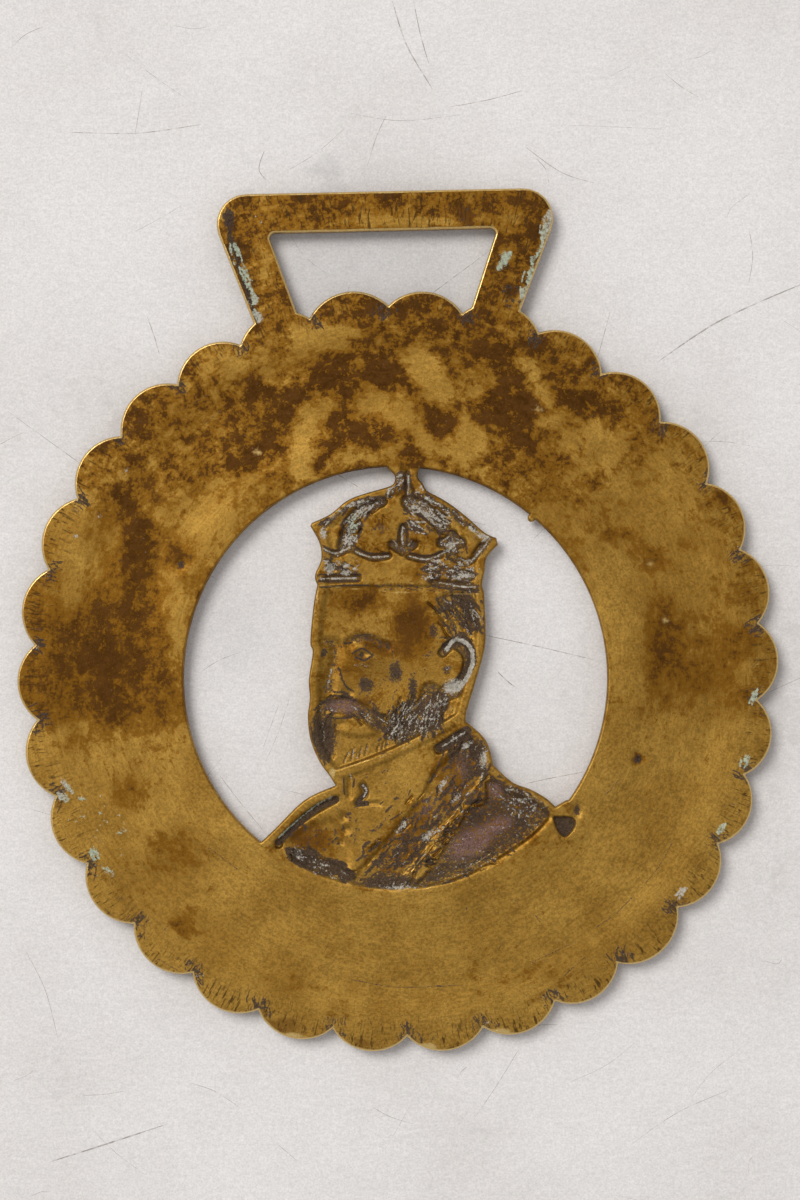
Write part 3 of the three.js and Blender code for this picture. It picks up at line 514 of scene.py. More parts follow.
for points, strength in [
    ([(-11.5, 35.5), (-5.6, 36), (-4.2, 34.6), (-7.4, 33.2), (-11, 33.2)], 0.6),
    ([(-13.1, 30), (-9.2, 31), (-9.7, 29.6), (-12.2, 28.7)], 0.5),
    ([(-10.8, 20), (-9.2, 20), (-8.1, 24.6), (-6.7, 27.3), (-8.3, 28), (-9.7, 27.3), (-10.8, 24.6)], 0.7),
    ([(-4.2, 27.5), (-2.9, 28.7), (0.3, 28.9), (1.2, 27.8), (0.3, 25), (-1.5, 26.5), (-3.8, 26.3)], 0.65),
    ([(0.6, 32.3), (2.6, 33.2), (4.6, 31.9), (4.9, 29.6), (6, 27.8), (4.9, 26.9), (3.1, 28.2),
      (1.7, 30)], 0.75),
    ([(0.3, 27.8), (2.1, 27.3), (3.1, 24.6), (4.9, 22.5), (3.1, 22.3), (1.2, 24.6)], 0.6),
    ([(6.7, 26.9), (8, 25.5), (9, 23.2), (7.6, 21.2), (5.8, 21.9), (5.3, 23.2), (6.2, 25)], 0.7),
    ([(12.4, 32.5), (14, 31.4), (16, 27.3), (15.1, 26.6), (13.5, 29.6), (12.6, 30.7)], 0.7),
    ([(6.7, 29.8), (9, 30.7), (10, 29.8), (7.6, 28.5)], 0.6),
    ([(-6.9, 22.3), (-0.1, 23.2), (-0.6, 22.2), (-6.5, 21.1)], 0.5),
    ([(15.3, 24.6), (18.5, 24.6), (21.2, 21.9), (18.5, 21), (16.2, 22.8)], 0.4),
    ([(-24.4, 7.4), (-22.7, 8.4), (-21.7, 7.4), (-22.3, 2.8), (-23.3, 4.7)], 0.45),
    ([(-35.1, 9.9), (-32.2, 9), (-32.6, 6.6), (-34.1, 6.3)], 0.35),
]:
    worn.pocket(points, 0.72 * strength, 1.5)
blots(worn, [
    (-33, 11.5, 1.5, 2.2, 0.45), (21.7, 23, 0.8, 2, 0.45), (23, 19, 1.2, 1.4, 0.4), (27, 15, 1.4, 1.6, 0.4),
    (22, 9, 1.5, 4, 0.5), (31, 10, 1.6, 2, 0.35), (23.3, 4, 1.2, 5, 0.5), (0, 46.3, 6, 0.5, 0.5),
    (-17, 32, 3, 1.4, 0.35), (6.4, 28.6, 1.2, 1.6, 0.45), (6.6, 22.8, 2, 0.8, 0.4), (-22.5, 4, 0.9, 4, 0.4),
    (-19.3, 16, 2, 2, 0.3), (-33.6, 16.5, 2, 2, 0.25), (20, 24.5, 1.2, 1.2, 0.45), (16, 26, 1, 1.4, 0.4),
    (12.2, 37.6, 1, 1, 0.3), (-18.6, 47.4, 0.8, 1.4, 0.4), (-13.4, 41, 1, 3, 0.3), (28, 20, 3, 3, 0.25)])
SPOTS = 260
scatter = [seed.uniform(low, high, SPOTS) for low, high in [(-37, 37), (6, 38), (0.25, 1.1)]]
for x, y, wide in zip(*scatter):
    tarnish.dimple((x, y), wide, wide * seed.uniform(0.3, 0.8), seed.uniform(0.4, 0.9), -math.atan2(x, y))
blots(rust, [
    (-26, 20, 1.5, 1.6, 0.6), (-24, 18, 1.2, 1, 0.5), (7.1, 47, 1.1, 1.1, 0.8), (-28, -22, 3, 2.4, 0.35),
    (-11.5, -36.5, 2.5, 0.9, 0.8), (-3.5, -38.1, 1.8, 0.7, 0.7), (29.3, -23.8, 1.2, 1, 0.6),
    (1.7, 7.1, 1.1, 1, 0.8), (1.3, 3.7, 1.4, 1.8, 0.85), (-0.8, 2.6, 2.6, 1.1, 0.75, -12),
    (-3.4, 0.6, 1.2, 1.4, 0.6), (-3.6, -3.2, 1, 1.8, 0.7, 20), (-9.5, -17, 2.2, 1.5, 0.8),
    (2.5, 5.2, 1.0, 1.6, 0.6), (-4.5, 8.2, 3.6, 0.4, 0.6), (-0.5, 15.6, 1.2, 0.5, 0.5),
    (11.7, -17.6, 2.2, 0.8, 0.6, 30), (17, -16.2, 0.8, 0.8, 0.8), (-34.8, -13.6, 1, 1, 0.5)])

# dirt, painted shade and chalk along the crown's carved lines
for line, half_width, _ in CROWN_STROKES:
    dirt_and_shade.groove(line, half_width + 0.02, 0.6)
    chalk.groove(line, max(half_width - 0.25, 0.08), 0.34)
lines(chalk, 0.07, 0.9, [
    [(-7.8, 12.75), (-6.5, 12.2), (-5, 12.8)], [(-4.4, 12.4), (-3, 11.85), (-1, 11.9)],
    [(1.2, 11.9), (3, 11.6), (5.2, 12.5)], [(6.2, 11.7), (7.4, 11.4), (8.4, 12.3), (9.4, 13.7)],
    [(-8.0, 9.6), (-4.3, 9.65)], [(4.3, 9.2), (6.2, 8.8), (8, 8.75)],
    [(0.5, 14.9), (0.35, 14.0), (0.5, 13.1)], [(-0.5, 13.6), (-0.1, 13.0)], [(1.0, 13.0), (1.4, 13.5)],
    [(4.5, 13.4), (5.2, 13.9)], [(-1.1, 18), (-0.7, 19.5), (0.3, 20.3)], [(1.0, 18.2), (1.1, 20.1)],
    [(-5.4, 13), (-4.9, 14.8), (-4.2, 16.1), (-2.2, 17.4)], [(8.6, 13.4), (9.4, 13.9)]])
# Painted shadow: the dark lines above the three festoons and along the upper-left side of the left arch lie
# on the walls turned away from the light. The other dark lines outline the fleurs, the bands and the stem.
lines(dirt_and_shade, 0.08, 1.0, [
    [(-7.9, 13.1), (-6.5, 12.5), (-5.2, 13.0)], [(-4.4, 12.9), (-3, 12.2), (-1, 12.25)],
    [(1.2, 12.25), (3, 11.95), (4.7, 12.5)],
    [(4.3, 12.9), (4.4, 14.2), (5.6, 14.5), (6.8, 13.4), (7.1, 12.2)], [(-8.2, 10.0), (-3.8, 10.0)],
    [(-8.2, 9.3), (-4, 9.35)], [(3.2, 8.85), (6, 8.45), (8.3, 8.4)],
    [(-0.1, 13.3), (0.0, 14.2), (0.45, 15.3), (1.0, 14.2), (0.95, 13.3)], [(0.05, 19.9), (0.1, 18.8)],
    [(-5.95, 13.2), (-5.1, 15.9), (-2.2, 17.9)], [(-8.2, 8.7), (-5, 8.9), (-3, 8.9)]])
for path, spread, count, strength in [
    ([(-5.1, 13.4), (-4.7, 15.2), (-2.4, 17.3)], 0.9, 40, 1.0),
    ([(1.3, 17.4), (3, 16.5), (4.9, 14.9)], 1.3, 60, 1.0),
    ([(-7.7, 15.3), (-5.5, 16.9), (-2.3, 17.9)], 0.3, 26, 0.9),
    ([(3.0, 17.9), (5.6, 16.2), (8.6, 14.2)], 0.4, 34, 0.9), ([(1.2, 15.2), (3.0, 14.4)], 0.8, 16, 0.8),
    ([(2.8, 10.4), (8.0, 10.2)], 1.3, 60, 0.8), ([(5.0, 12.6), (6.6, 13.2)], 1.0, 18, 0.9),
    ([(-7.4, 10.9), (-4.0, 10.6)], 0.8, 22, 0.9), ([(-0.9, 18.4), (0.3, 20.2)], 0.8, 18, 0.9),
]:
    dirt_and_shade.fibres(path, spread, count, 0.9, 0.13, strength)
    chalk.fibres(path, spread, count, 0.7, 0.07, strength)
dirt_and_shade.fibres([(-2, 8.9), (3, 8.5), (8.5, 8.2)], 0.4, 40, 0.8, 0.07, 0.8, 0.15)
dirt_and_shade.specks((5.4, 10.6), 3.0, 1.2, 120, 0.24, 0.9)
dirt_and_shade.specks((-6.2, 11.0), 2.2, 1.3, 70, 0.2, 0.85)
dirt_and_shade.specks((0.3, 13.2), 8, 4.5, 160, 0.12, 0.8)
chalk.specks((5.6, 10.6), 3.0, 1.3, 60, 0.13, 0.9)
chalk.specks((-6.2, 11.0), 2.2, 1.3, 30, 0.13, 0.9)
for path in [
    [(-4.0, 14.6), (-2.6, 15.6), (-0.8, 15.4)], [(-4.0, 12.9), (-2.4, 12.7), (-0.9, 13.0)],
    [(1.6, 13.3), (3.8, 13.2)],
]:
    tarnish.fibres(path, 0.9, 50, 0.8, 0.05, 1.1, 1.2)
blots(dirt_and_shade, [
    (1.8, 14.9, 0.9, 0.6, 0.7, -30), (-2, 14.7, 1.4, 0.5, 0.5), (5.6, 10.4, 1.2, 0.6, 0.7),
    (6.9, 9.9, 1.1, 0.5, 0.8), (4, 10.6, 1, 0.7, 0.5), (0.7, 19.2, 0.4, 0.9, 0.8)])
blots(chalk, [
    (-7, 10.6, 0.4, 0.35, 1.1), (-5.4, 10.9, 0.3, 0.25, 1.0), (-5.4, 10.2, 0.3, 0.25, 1.0),
    (-7.7, 14.2, 0.3, 0.6, 0.9), (6.9, 9.9, 0.8, 0.2, 0.9), (2.5, 19.1, 0.25, 0.4, 0.8),
    (8.9, 14, 0.7, 0.25, 1.0)])

# along the face's own carved features, and in the hair, the beard and the ear, with spots on the cheek
lines(dirt_and_shade, 0.12, 0.9, [
    [on_head(13, EYES + 0.1), on_head(21, EYES + 0.62), on_head(29, EYES - 0.1)],
    [on_head(15, EYES - 0.25), on_head(22, EYES - 0.6), on_head(28, EYES - 0.25)],
    [on_head(-15, EYES + 0.2), on_head(-20, EYES + 0.55), on_head(-26, EYES)],
    [on_head(3, EYES - 1.4, 0.5), on_head(9, NOSE_BASE + 1.4, 0.7), on_head(15, NOSE_BASE + 0.7, 0.4)],
    [on_head(5, NOSE_BASE + 0.2, 1.0), on_head(12, NOSE_BASE + 0.15, 0.6)],
    [on_head(-8, MOUTH, 0.6), on_head(3, MOUTH - 0.15, 0.8), on_head(14, MOUTH, 0.5)]], 0.22)
dirt_and_shade.fibres([on_head(8, BROW - 0.15), on_head(22, BROW + 0.4), on_head(38, BROW - 0.4)],
            0.5, 26, 0.8, 0.08, 0.85)
dirt_and_shade.fibres([on_head(-12, BROW), on_head(-26, BROW)], 0.4, 10, 0.6, 0.08, 0.8)
blots(dirt_and_shade, [(*on_head(20, EYES), 0.28, 0.3, 1.0), (*on_head(-20, EYES), 0.2, 0.28, 1.0)])
chalk.groove([on_head(0, EYES - 1.5, 1.2), on_head(0, NOSE_BASE + 1.2, 1.8)], 0.08, 0.75, 0.3)
chalk.fibres([on_head(14, EYES - 1.1), on_head(26, EYES - 1.3)], 0.3, 8, 0.6, 0.05, 0.7)
for path, spread, pale in HAIR_PATHS:
    dirt_and_shade.fibres(path, spread, 60, 1.3, 0.14, 0.95)
    chalk.fibres(path, 0.9 * spread, pale, 1.1, 0.05, 0.85)
for tuft in TUFTS:
    chalk.groove(tuft, 0.05, seed.uniform(0.2, 0.8), 0.2)
dirt_and_shade.fibres([(-5, -8.6), (0, -6.9), (3.6, -5.6)], 1.3, 30, 0.7, 0.07, 0.7)
blots(dirt_and_shade, [
    (-0.3, 0, 0.6, 1.1, 1.0), (-3.3, -1.3, 0.65, 0.8, 1.0, 30), (3.6, 4.2, 0.5, 0.7, 0.8),
    (3.2, 1.8, 0.7, 0.3, 0.7, 30), (1.5, -1.6, 0.4, 1.2, 0.95), (5.0, 0.3, 0.5, 0.4, 0.8),
    (-7.6, -6.8, 1.2, 2.2, 0.95)])
dirt_and_shade.specks((0, 2), 7.5, 7.5, 260, 0.13, 0.85)
dirt_and_shade.specks((-3, 4), 3.5, 3.5, 90, 0.2, 0.6)
lines(dirt_and_shade, 0.5, 0.85, [[(4.9, 2.6), (6.6, 3.4), (7.6, 1.9), (7.2, 0.2), (5.8, -1.4)]])
lines(chalk, 0.22, 0.95, [[(5.0, 2.3), (5.9, 3.3), (7.3, 2.7), (7.7, 1.2), (7.1, -0.6), (6.1, -1.9)]])
blots(chalk, [(5.6, -1.5, 0.8, 0.6, 1.2, 20), (5.2, 0.3, 0.25, 0.2, 0.6)])
blots(green, [
    (6.4, 0.6, 0.8, 1.2, 0.7), (-4.6, 15.2, 0.8, 1.6, 0.6), (15.3, -14.1, 0.7, 0.4, 1.0),
    (-9.5, -15, 3.5, 2.4, 0.9, 40)])

# on the collar, the badge, the medals and the rope
lines(dirt_and_shade, 0.1, 0.9, [
    [(-5.6, -10.9), (-5.5, -12.6)], [(-4.5, -11), (-4.6, -11.8)], [(-6.8, -17.5), (-6.2, -17.0)]])
dirt_and_shade.fibres([(-4.4, -10.9), (-2.4, -10.4), (-0.6, -9.9)], 0.3, 12, 0.4, 0.05, 0.9)
dirt_and_shade.fibres([(-4.6, -13.9), (-2.4, -13.7), (0.2, -12.8)], 0.3, 14, 0.5, 0.06, 0.9)
lines(dirt_and_shade, 0.5, 1.0, [[(4.3, -7.8), (5.8, -6.9), (7.1, -6.0)]])
lines(dirt_and_shade, 0.26, 1.0, [[(-3.6, -11.7), (-3.3, -12.4), (-4.2, -13.5), (-3.2, -13.5)]])
lines(chalk, 0.09, 0.8, [
    [(-3.7, -11.6), (-3.2, -12.2), (-3.6, -12.9)], [(-4.9, -10.5), (-4.9, -10.9)],
    [(4.5, -7.7), (6.9, -6.2)]])
lines(dirt_and_shade, 0.4, 0.9, [[(-6.4, -13.1), (-8.2, -13.9), (-10.2, -15.5), (-12.3, -17.5)]])
for k in np.linspace(0, 1, 15):
    x, y = -6.9 - 5.1 * k, -13.0 - 3.9 * k**1.25
    lines(chalk, 0.07, 0.6 + 0.5 * k, [[(x - 0.3, y - 0.14), (x + 0.26, y + 0.34)]], 0.2)
dirt_and_shade.specks((-5.8, -15.9), 1.6, 2.0, 26, 0.3, 1.0)
dirt_and_shade.specks((-9.4, -17.2), 2.8, 1.8, 70, 0.26, 0.9)
dirt_and_shade.specks((-0.6, -11.9), 2.4, 1.4, 26, 0.14, 0.9)
dirt_and_shade.fibres([(-10.9, -18.7), (-8.4, -19.8), (-5.0, -21.5)], 1.2, 70, 1.2, 0.26, 1.0)
chalk.fibres([(-10.6, -18.6), (-8.4, -19.7), (-5.0, -21.4)], 1.0, 34, 1.0, 0.06, 0.7, 0.15)

# in the fur band and the cloak
dirt_and_shade.groove(FUR, 1.3, 0.36, 1.4)
dirt_and_shade.fibres(FUR, 3.0, 260, 1.3, 0.16, 0.9)
chalk.fibres(FUR, 2.4, 60, 0.9, 0.05, 0.75, 0.2)
blots(dirt_and_shade, [(-1.2, -21.6, 3.2, 0.9, 0.9), (6.8, -9.5, 1.2, 2.2, 0.6), (0.6, -18, 2, 1.4, 0.5, 50)])
blots(chalk, [
    (8.8, -9, 0.35, 1.0, 0.8), (7, -7.6, 0.6, 0.3, 0.8, 45), (0.2, -22.3, 2.4, 0.5, 0.55),
    (4.6, -11.6, 0.3, 0.8, 0.7, -30), (6, -13, 0.3, 0.7, 0.6, -30), (0.4, -15.9, 0.3, 0.9, 0.7, -40),
    (3.2, -16.8, 0.4, 0.8, 0.7, -50)])
dirt_and_shade.pocket([
    (9.6, -10.9), (11.4, -11.4), (14.2, -12.9), (15.7, -14.3), (14.2, -16.0), (10.2, -18.4), (5.6, -20.8),
    (1.4, -22.4), (1.2, -21.4), (3.8, -20.4), (5.6, -17.2), (7.2, -14.8), (9.2, -13.4)], 0.6, 0.5)
blots(plum, [
    (7.6, -17.6, 2.4, 1.2, 1.0, 30), (10.2, -15.8, 1.6, 0.8, 0.9, 20), (10, -12.2, 0.9, 1.0, 0.7),
    (6.5, -10, 1, 2, 0.5), (3, -14, 1.2, 2, 0.5, -40), (*on_head(8, NOSE_BASE - 0.9, 0.6), 1.8, 0.8, 0.8),
    (3.2, -3.6, 1.6, 1.6, 0.4)])
for path in CLOAK:
    dirt_and_shade.fibres(path, 2.0, 40, 1.0, 0.12, 1.0)
    chalk.fibres(path, 1.8, 36, 0.7, 0.04, 0.6, 0.5)
chalk.fibres([(11.2, -12.2), (15.2, -14.6)], 1.6, 40, 0.8, 0.06, 0.75)
chalk.specks((13.2, -14.0), 2.2, 1.1, 90, 0.16, 0.8)
chalk.specks((7.4, -19.6), 3.4, 0.6, 40, 0.12, 0.7)

# the dirt, the painted shade and the residue so far stay on the bust
for layer in (dirt_and_shade, chalk):
    layer.depth *= smoothstep(np.minimum(from_ring, from_edge), -0.2, 0.3)

# the chip beside the shoulder, the pits and the scratches
dirt_and_shade.pocket(CHIP, 1.2, 0.25)
dirt_and_shade.dimple((18.4, -14.2), 0.5, 0.8, 0.9)
blots(dirt_and_shade, [(24.7, -9, 0.4, 0.4, 0.9), (-22.3, 11, 0.35, 0.35, 1.0), (18.6, 23.2, 0.3, 0.3, 0.7)])
lines(dirt_and_shade, 0.05, 0.75, [
    [(-22.5, 26.8), (-19.5, 28.5)], [(-20, 25.5), (-18, 27)], [(10.9, -27.6), (10.3, -28.5)],
    [(9.8, -21.6), (9.9, -22.4)], [(12, -23.4), (12.5, -24.1)], [(14.1, -25), (14.6, -25.7)],
    [(7, -24.2), (7.1, -24.8)], [(-7.1, -28), (-7.6, -28.7)], [(28.2, -17.5), (26.9, -19.9), (25.2, -22)],
    [(24.2, -23), (22.4, -24.8), (20.5, -26.2)], [(18.3, -27.7), (13.5, -30)], [(22.8, -11), (21.3, -12.6)],
    [(-19.5, -18), (-16.5, -20.3)], [(-22.2, 16.9), (-21.7, 16.6)], [(-5, -31.6), (0, -32.4), (6, -32.2)],
    [(19.2, -29.3), (17, -31.3)], [(-30.2, -24.3), (-27, -27)], [(-24.6, -29.5), (-20.5, -32)]], 0.14)
lines(rubbed_and_highlight, 0.05, 0.6, [
    [(23.8, 15.5), (25.5, 12), (26.8, 8.5), (27.5, 4), (27.8, 0)], [(-18.3, 19.7), (-13.5, 23.3)],
    [(-6, 36), (-9, 34.2)], [(12, 25), (15, 27.4)]], 0.14)
chalk.specks((-31, -16.5), 3, 4.5, 40, 0.16, 0.8)
blots(chalk, [
    (-34, -11.8, 0.9, 0.25, 0.9, -50), (-32.5, -13, 0.5, 0.2, 0.8), (-28.5, -16.5, 0.5, 0.2, 0.7, 30),
    (-29.8, -20.5, 0.6, 0.3, 0.8, -40), (-33, 14, 0.3, 0.15, 0.8), (-30.7, 16, 0.25, 0.15, 0.8),
    (-28, 20.7, 0.3, 0.2, 0.7)])
blots(green, [
    (-31, -16, 4, 6, 1.0), (35, -12, 4, 14, 1.0), (-16.2, 42, 3, 7, 0.8), (13.8, 42, 2.6, 6, 0.8),
    (10.9, 42.3, 1.6, 1.6, 1.4)])

# residue in the filed notches and along the hanger's legs
notches = LOBE_TURN + lobe_step * (np.arange(LOBES) + 0.5)
for turn in notches:
    way = np.array([math.cos(turn), math.sin(turn)])
    across = np.array([-way[1], way[0]])
    dirt_and_shade.groove([way * 38.2, way * 37.0], 0.12, 0.8, 0.5)
    dirt_and_shade.fibres([way * 37.8, way * 36.3 + across * seed.normal(0, 0.5)], 1.0, 34, 1.0, 0.06, 1.0)
    hook = way * 37.9 + across * seed.uniform(1.4, 2.0)
    dirt_and_shade.groove([way * 37.3 + across * 0.1, way * 37.0 + across * 0.9, hook],
                0.06, seed.uniform(0.3, 1.0) - 0.4 * (way[1] > 0), 0.2)
    dirt_and_shade.fibres([way * 37.6 + across * 0.3, way * 37.8 + across * 1.5],
                0.5, 10, 0.6, 0.05, 1.0 - 0.5 * (way[1] > 0), 0.8)
    chalk.fibres([way * 37.7 + across * 0.3, way * 36.8 + across * 0.9],
                 0.5, 4, 0.5, 0.05, seed.uniform(0, 0.8))
for x, y in [(36.5, -9.4), (33.9, -16.4), (29.6, -23.2), (37.3, -2.6), (-35.2, -13), (-32, -19.2)]:
    chalk.fibres([(x * 0.985, y * 0.985 + 0.5), (x * 0.97, y * 0.97 - 0.6)], 0.5, 10, 0.7, 0.1, 1.0)
FILE_STROKES = 260
for _ in range(FILE_STROKES):
    turn = seed.uniform(0, 2 * math.pi)
    away = seed.uniform(35.0, 39.0)
    lean = turn + seed.normal(0.5, 0.25)
    place = away * np.array([math.cos(turn), math.sin(turn)])
    reach = seed.uniform(0.2, 0.9) * np.array([math.cos(lean), math.sin(lean)])
    strength = seed.uniform(0.3, 1.0) * (1.0 if math.sin(turn) < 0.2 else 0.7)
    dirt_and_shade.groove([place - reach, place + reach], 0.02, strength, 0.12)
LEFT_LEG = [(-17.6, 46.6), (-17.1, 44.4), (-16.4, 41.8), (-15.5, 39), (-14.5, 36.1)]
RIGHT_LEG = [(15.6, 46.9), (15.0, 44.8), (14.1, 41.9), (13.1, 39), (12.6, 37.5)]
dirt_and_shade.groove(LEFT_LEG, 0.16, 0.95, 0.3)
dirt_and_shade.fibres(LEFT_LEG, 0.6, 30, 1.0, 0.12, 1.0)
dirt_and_shade.dimple((-17.4, 46.7), 0.7, 1.2, 1.2)
chalk.fibres([(x + 0.25, y) for x, y in LEFT_LEG[1:]], 0.5, 40, 0.9, 0.12, 1.0)
chalk.fibres(RIGHT_LEG, 0.6, 60, 1.1, 0.13, 1.0)
dirt_and_shade.fibres([(x + 0.35, y) for x, y in RIGHT_LEG], 0.3, 20, 1.2, 0.06, 0.9)
chalk.groove([(11.5, 43), (10.9, 42.3), (10.3, 41.5)], 0.22, 1.2, 0.4)
chalk.dimple((11.0, 42.5), 0.5, 0.9, 1.1)
dirt_and_shade.specks((11.6, 38.6), 1.1, 1.4, 40, 0.24, 1.0)
dirt_and_shade.specks((7.3, 46.7), 1.1, 0.9, 18, 0.2, 0.9)
chalk.specks((-14.2, 46.8), 0.8, 1.2, 12, 0.12, 0.8)

# Painted highlights, partly rubbed wear, along the bust's raised lines and its walls that face the light,
# such as the beard's and the cloak's lower edges, and bright rubbed spots on the outer edge
lines(rubbed_and_highlight, 0.05, 0.8, [
    [(8.9, 7.8), (8.6, 5.2), (8.3, 1.6), (7.0, -2.6)], [(-8.2, 8.4), (-8.5, 5.5)],
    [(9.3, -10.3), (7, -13), (4, -17), (0.8, -21.3)], [(15, -15.6), (11, -17.7), (6, -21), (1, -22.9)],
    [(-6.6, -10.2), (-3.8, -9.3), (0, -8.1), (4, -5.9), (6.6, -4.6)], [(-7.9, 8.9), (0, 8.2), (8.4, 8.0)],
    [(-9, 15.2), (-6.9, 16.4), (-4.8, 17.9), (-1.6, 18.7)]])
blots(rubbed_and_highlight, [
    (-6.8, -10.4, 0.3, 0.5, 1.0), (-11, -37.4, 1, 0.3, 1.0), (3, -38.5, 1, 0.3, 1.0),
    (10.5, -37, 1, 0.3, 1.0)])
# The worn edge is rubbed bright and carries a painted highlight, fainter round the opening than outside.
rubbed_and_highlight.depth = np.maximum(rubbed_and_highlight.depth, np.where(radius > 30, 1.0, 0.4) * smoothstep(0.32 - plan, 0, 0.2))

# dirt lies thickest in the deepest places, partly residue and partly painted shade
deep = smoothstep(figure, 0.34, 0.6)
dirt_and_shade.depth = np.maximum(dirt_and_shade.depth, 0.55 * deep)
tarnish.depth = np.clip(tarnish.depth - 1.2 * worn.depth, 0, 1.2)

# ==== The rounded edge =================================================================================
# The worn edge is a quarter round above and below. Its foot is the line EDGE inside the outline.
EDGE = 0.25


def outline_pieces(field):
    """Short straight pieces of the line where the field is nought, found in each half of each cell."""
    four = [field[:-1, :-1], field[1:, :-1], field[:-1, 1:], field[1:, 1:]]
    j, i = np.nonzero((np.minimum.reduce(four) < 0) & (np.maximum.reduce(four) > 0))
    halves = np.concatenate([np.stack([i, j, i + 1, j, i + 1, j + 1], -1),
                             np.stack([i, j, i + 1, j + 1, i, j + 1], -1)])
    corners = halves.reshape(-1, 3, 2)
    values = field[corners[..., 1], corners[..., 0]]
    mixed = (values.min(1) < 0) & (values.max(1) > 0)
    corners, values = corners[mixed], values[mixed]
    lone = np.argmax((values > 0) != (np.sum(values > 0, 1) > 1)[:, None], 1)
    rows = np.arange(len(lone))
    ends = []
    for k in (1, 2):
        other = (lone + k) % 3
        t = values[rows, lone] / (values[rows, lone] - values[rows, other])
        a, b = corners[rows, lone], corners[rows, other]
        ends.append(a + (b - a) * t[:, None])
    return np.stack(ends, 1)


pieces = outline_pieces(plan)


def nearest_on(pieces, x, y):
    """For one piece and one place each, the piece's nearest point."""
    a, b = pieces[:, 0], pieces[:, 1]
    d = b - a
    t = np.clip(((x - a[:, 0]) * d[:, 0] + (y - a[:, 1]) * d[:, 1]) / ((d**2).sum(1) + 1e-12), 0, 1)
    return a + d * t[:, None]


edge_cells = 10                    # the distance is worked out this many cells to each side
edge_distance = np.full(plan.size, float(edge_cells))
home = pieces.mean(1).round().astype(int)
for dj in range(-edge_cells, edge_cells + 1):
    for di in range(-edge_cells, edge_cells + 1):
        i, j = np.clip(home[:, 0] + di, 0, CELLS), np.clip(home[:, 1] + dj, 0, CELLS)
        near = nearest_on(pieces, i, j)
        np.minimum.at(edge_distance, j * (CELLS + 1) + i, np.hypot(near[:, 0] - i, near[:, 1] - j))
edge_distance = edge_distance.reshape(plan.shape) * CELL * np.sign(plan)

# ==== Halving the triangles ============================================================================
# Two right triangles cover the square. Each is halved at the middle of its long side as often as the
# heights, the stains, the edge or the largest size ask for, so plain places keep few triangles. Both
# sides have the same triangles in a band along the edge, where they join.
TOLERANCE = 0.02                   # how far a height may be out between a triangle's corners
FRONT_TOLERANCE = 0.035
STAIN_TOLERANCE = 0.30             # and a stain's strength
EDGE_SIZE = 0.2                    # half the long side of the triangles along the edge
LARGEST = 0.8
SHARED_BAND = 0.8                  # width of the band where both sides have the same triangles
STAINS = {"tarnish": tarnish, "dirt_and_shade": dirt_and_shade, "chalk": chalk, "green": green, "rust": rust, "plum": plum,
          "rubbed_and_highlight": rubbed_and_highlight}


def halving_needs(fields, given):
    """For each grid point, 1 or more where a triangle has to be halved there, for the fields and their
    tolerances and for the needs given. A point also carries the needs of the smaller triangles inside
    it, so that no triangle is halved without its neighbour."""
    need = np.zeros_like(plan)
    material = plan > -0.4

    def ask(part, ends, length, finer):
        wanted = given[part]
        for field, tolerance in fields:
            error = np.abs(field[part] - (field[ends[0]] + field[ends[1]]) / 2) / tolerance
            wanted = np.maximum(wanted, np.where(material[part], error, 0))
        close = np.abs(plan[part] - EDGE) < 1.6 * length + 0.1
        wanted = np.maximum(wanted, np.where(close & (length > EDGE_SIZE), 9, 0))
        wanted = np.maximum(wanted, np.where((plan[part] > -length) & (length > LARGEST), 9, 0))
        return np.maximum.reduce([wanted, *finer])

    half = 1
    while half < CELLS:
        two, quarter = 2 * half, half // 2
        odd, even = slice(half, None, two), slice(0, None, two)
        low, high = slice(0, -1, two), slice(two, None, two)
        padded = np.pad(need, quarter)
        for across in (True, False):
            part = (even, odd) if across else (odd, even)
            ends = ((even, low), (even, high)) if across else ((low, even), (high, even))
            finer = []
            if quarter:
                count = need[part].shape
                for u in (0, half):
                    for v in (0, half):
                        start = (u, half + v) if across else (half + u, v)
                        finer.append(padded[start[0]::two, start[1]::two][:count[0], :count[1]])
            need[part] = ask(part, ends, half * CELL, finer)
        part = (odd, odd)
        diagonals = [((low, low), (high, high)), ((low, high), (high, low))]
        finer = [need[odd, low], need[odd, high], need[low, odd], need[high, odd]]
        asked = [ask(part, ends, half * CELL * math.sqrt(2), finer) for ends in diagonals]
        squares = np.add.outer(np.arange(asked[0].shape[0]), np.arange(asked[0].shape[1])) % 2 == 0
        need[part] = np.where(squares, asked[0], asked[1])
        half = two
    return need


def halved_triangles(need):
    """The triangles left when every one that needs it has been halved, as grid points, anticlockwise."""
    a, b = np.array([[0, 0], [CELLS, CELLS]]), np.array([[CELLS, CELLS], [0, 0]])
    apex = np.array([[0, CELLS], [CELLS, 0]])
    kept = []
    while len(a):
        middle = (a + b) // 2
        small = np.abs(a - apex).sum(1) <= 1
        split = (need[middle[:, 1], middle[:, 0]] >= 1) & ~small
        kept.append(np.stack([a[~split], b[~split], apex[~split]], 1))
        a, b, apex, middle = a[split], b[split], apex[split], middle[split]
        a, b, apex = np.concatenate([apex, b]), np.concatenate([a, apex]), np.concatenate([middle, middle])
    return np.concatenate(kept)


def sample(field, at):
    """The field's values at places between the grid's points, in straight proportion."""
    i = np.clip(at[:, 0].astype(int), 0, CELLS - 1)
    j = np.clip(at[:, 1].astype(int), 0, CELLS - 1)
    u, v = at[:, 0] - i, at[:, 1] - j
    return (field[j, i] * (1 - u) * (1 - v) + field[j, i + 1] * u * (1 - v)
            + field[j + 1, i] * (1 - u) * v + field[j + 1, i + 1] * u * v)


rise_y, rise_x = np.gradient(edge_distance, CELL)


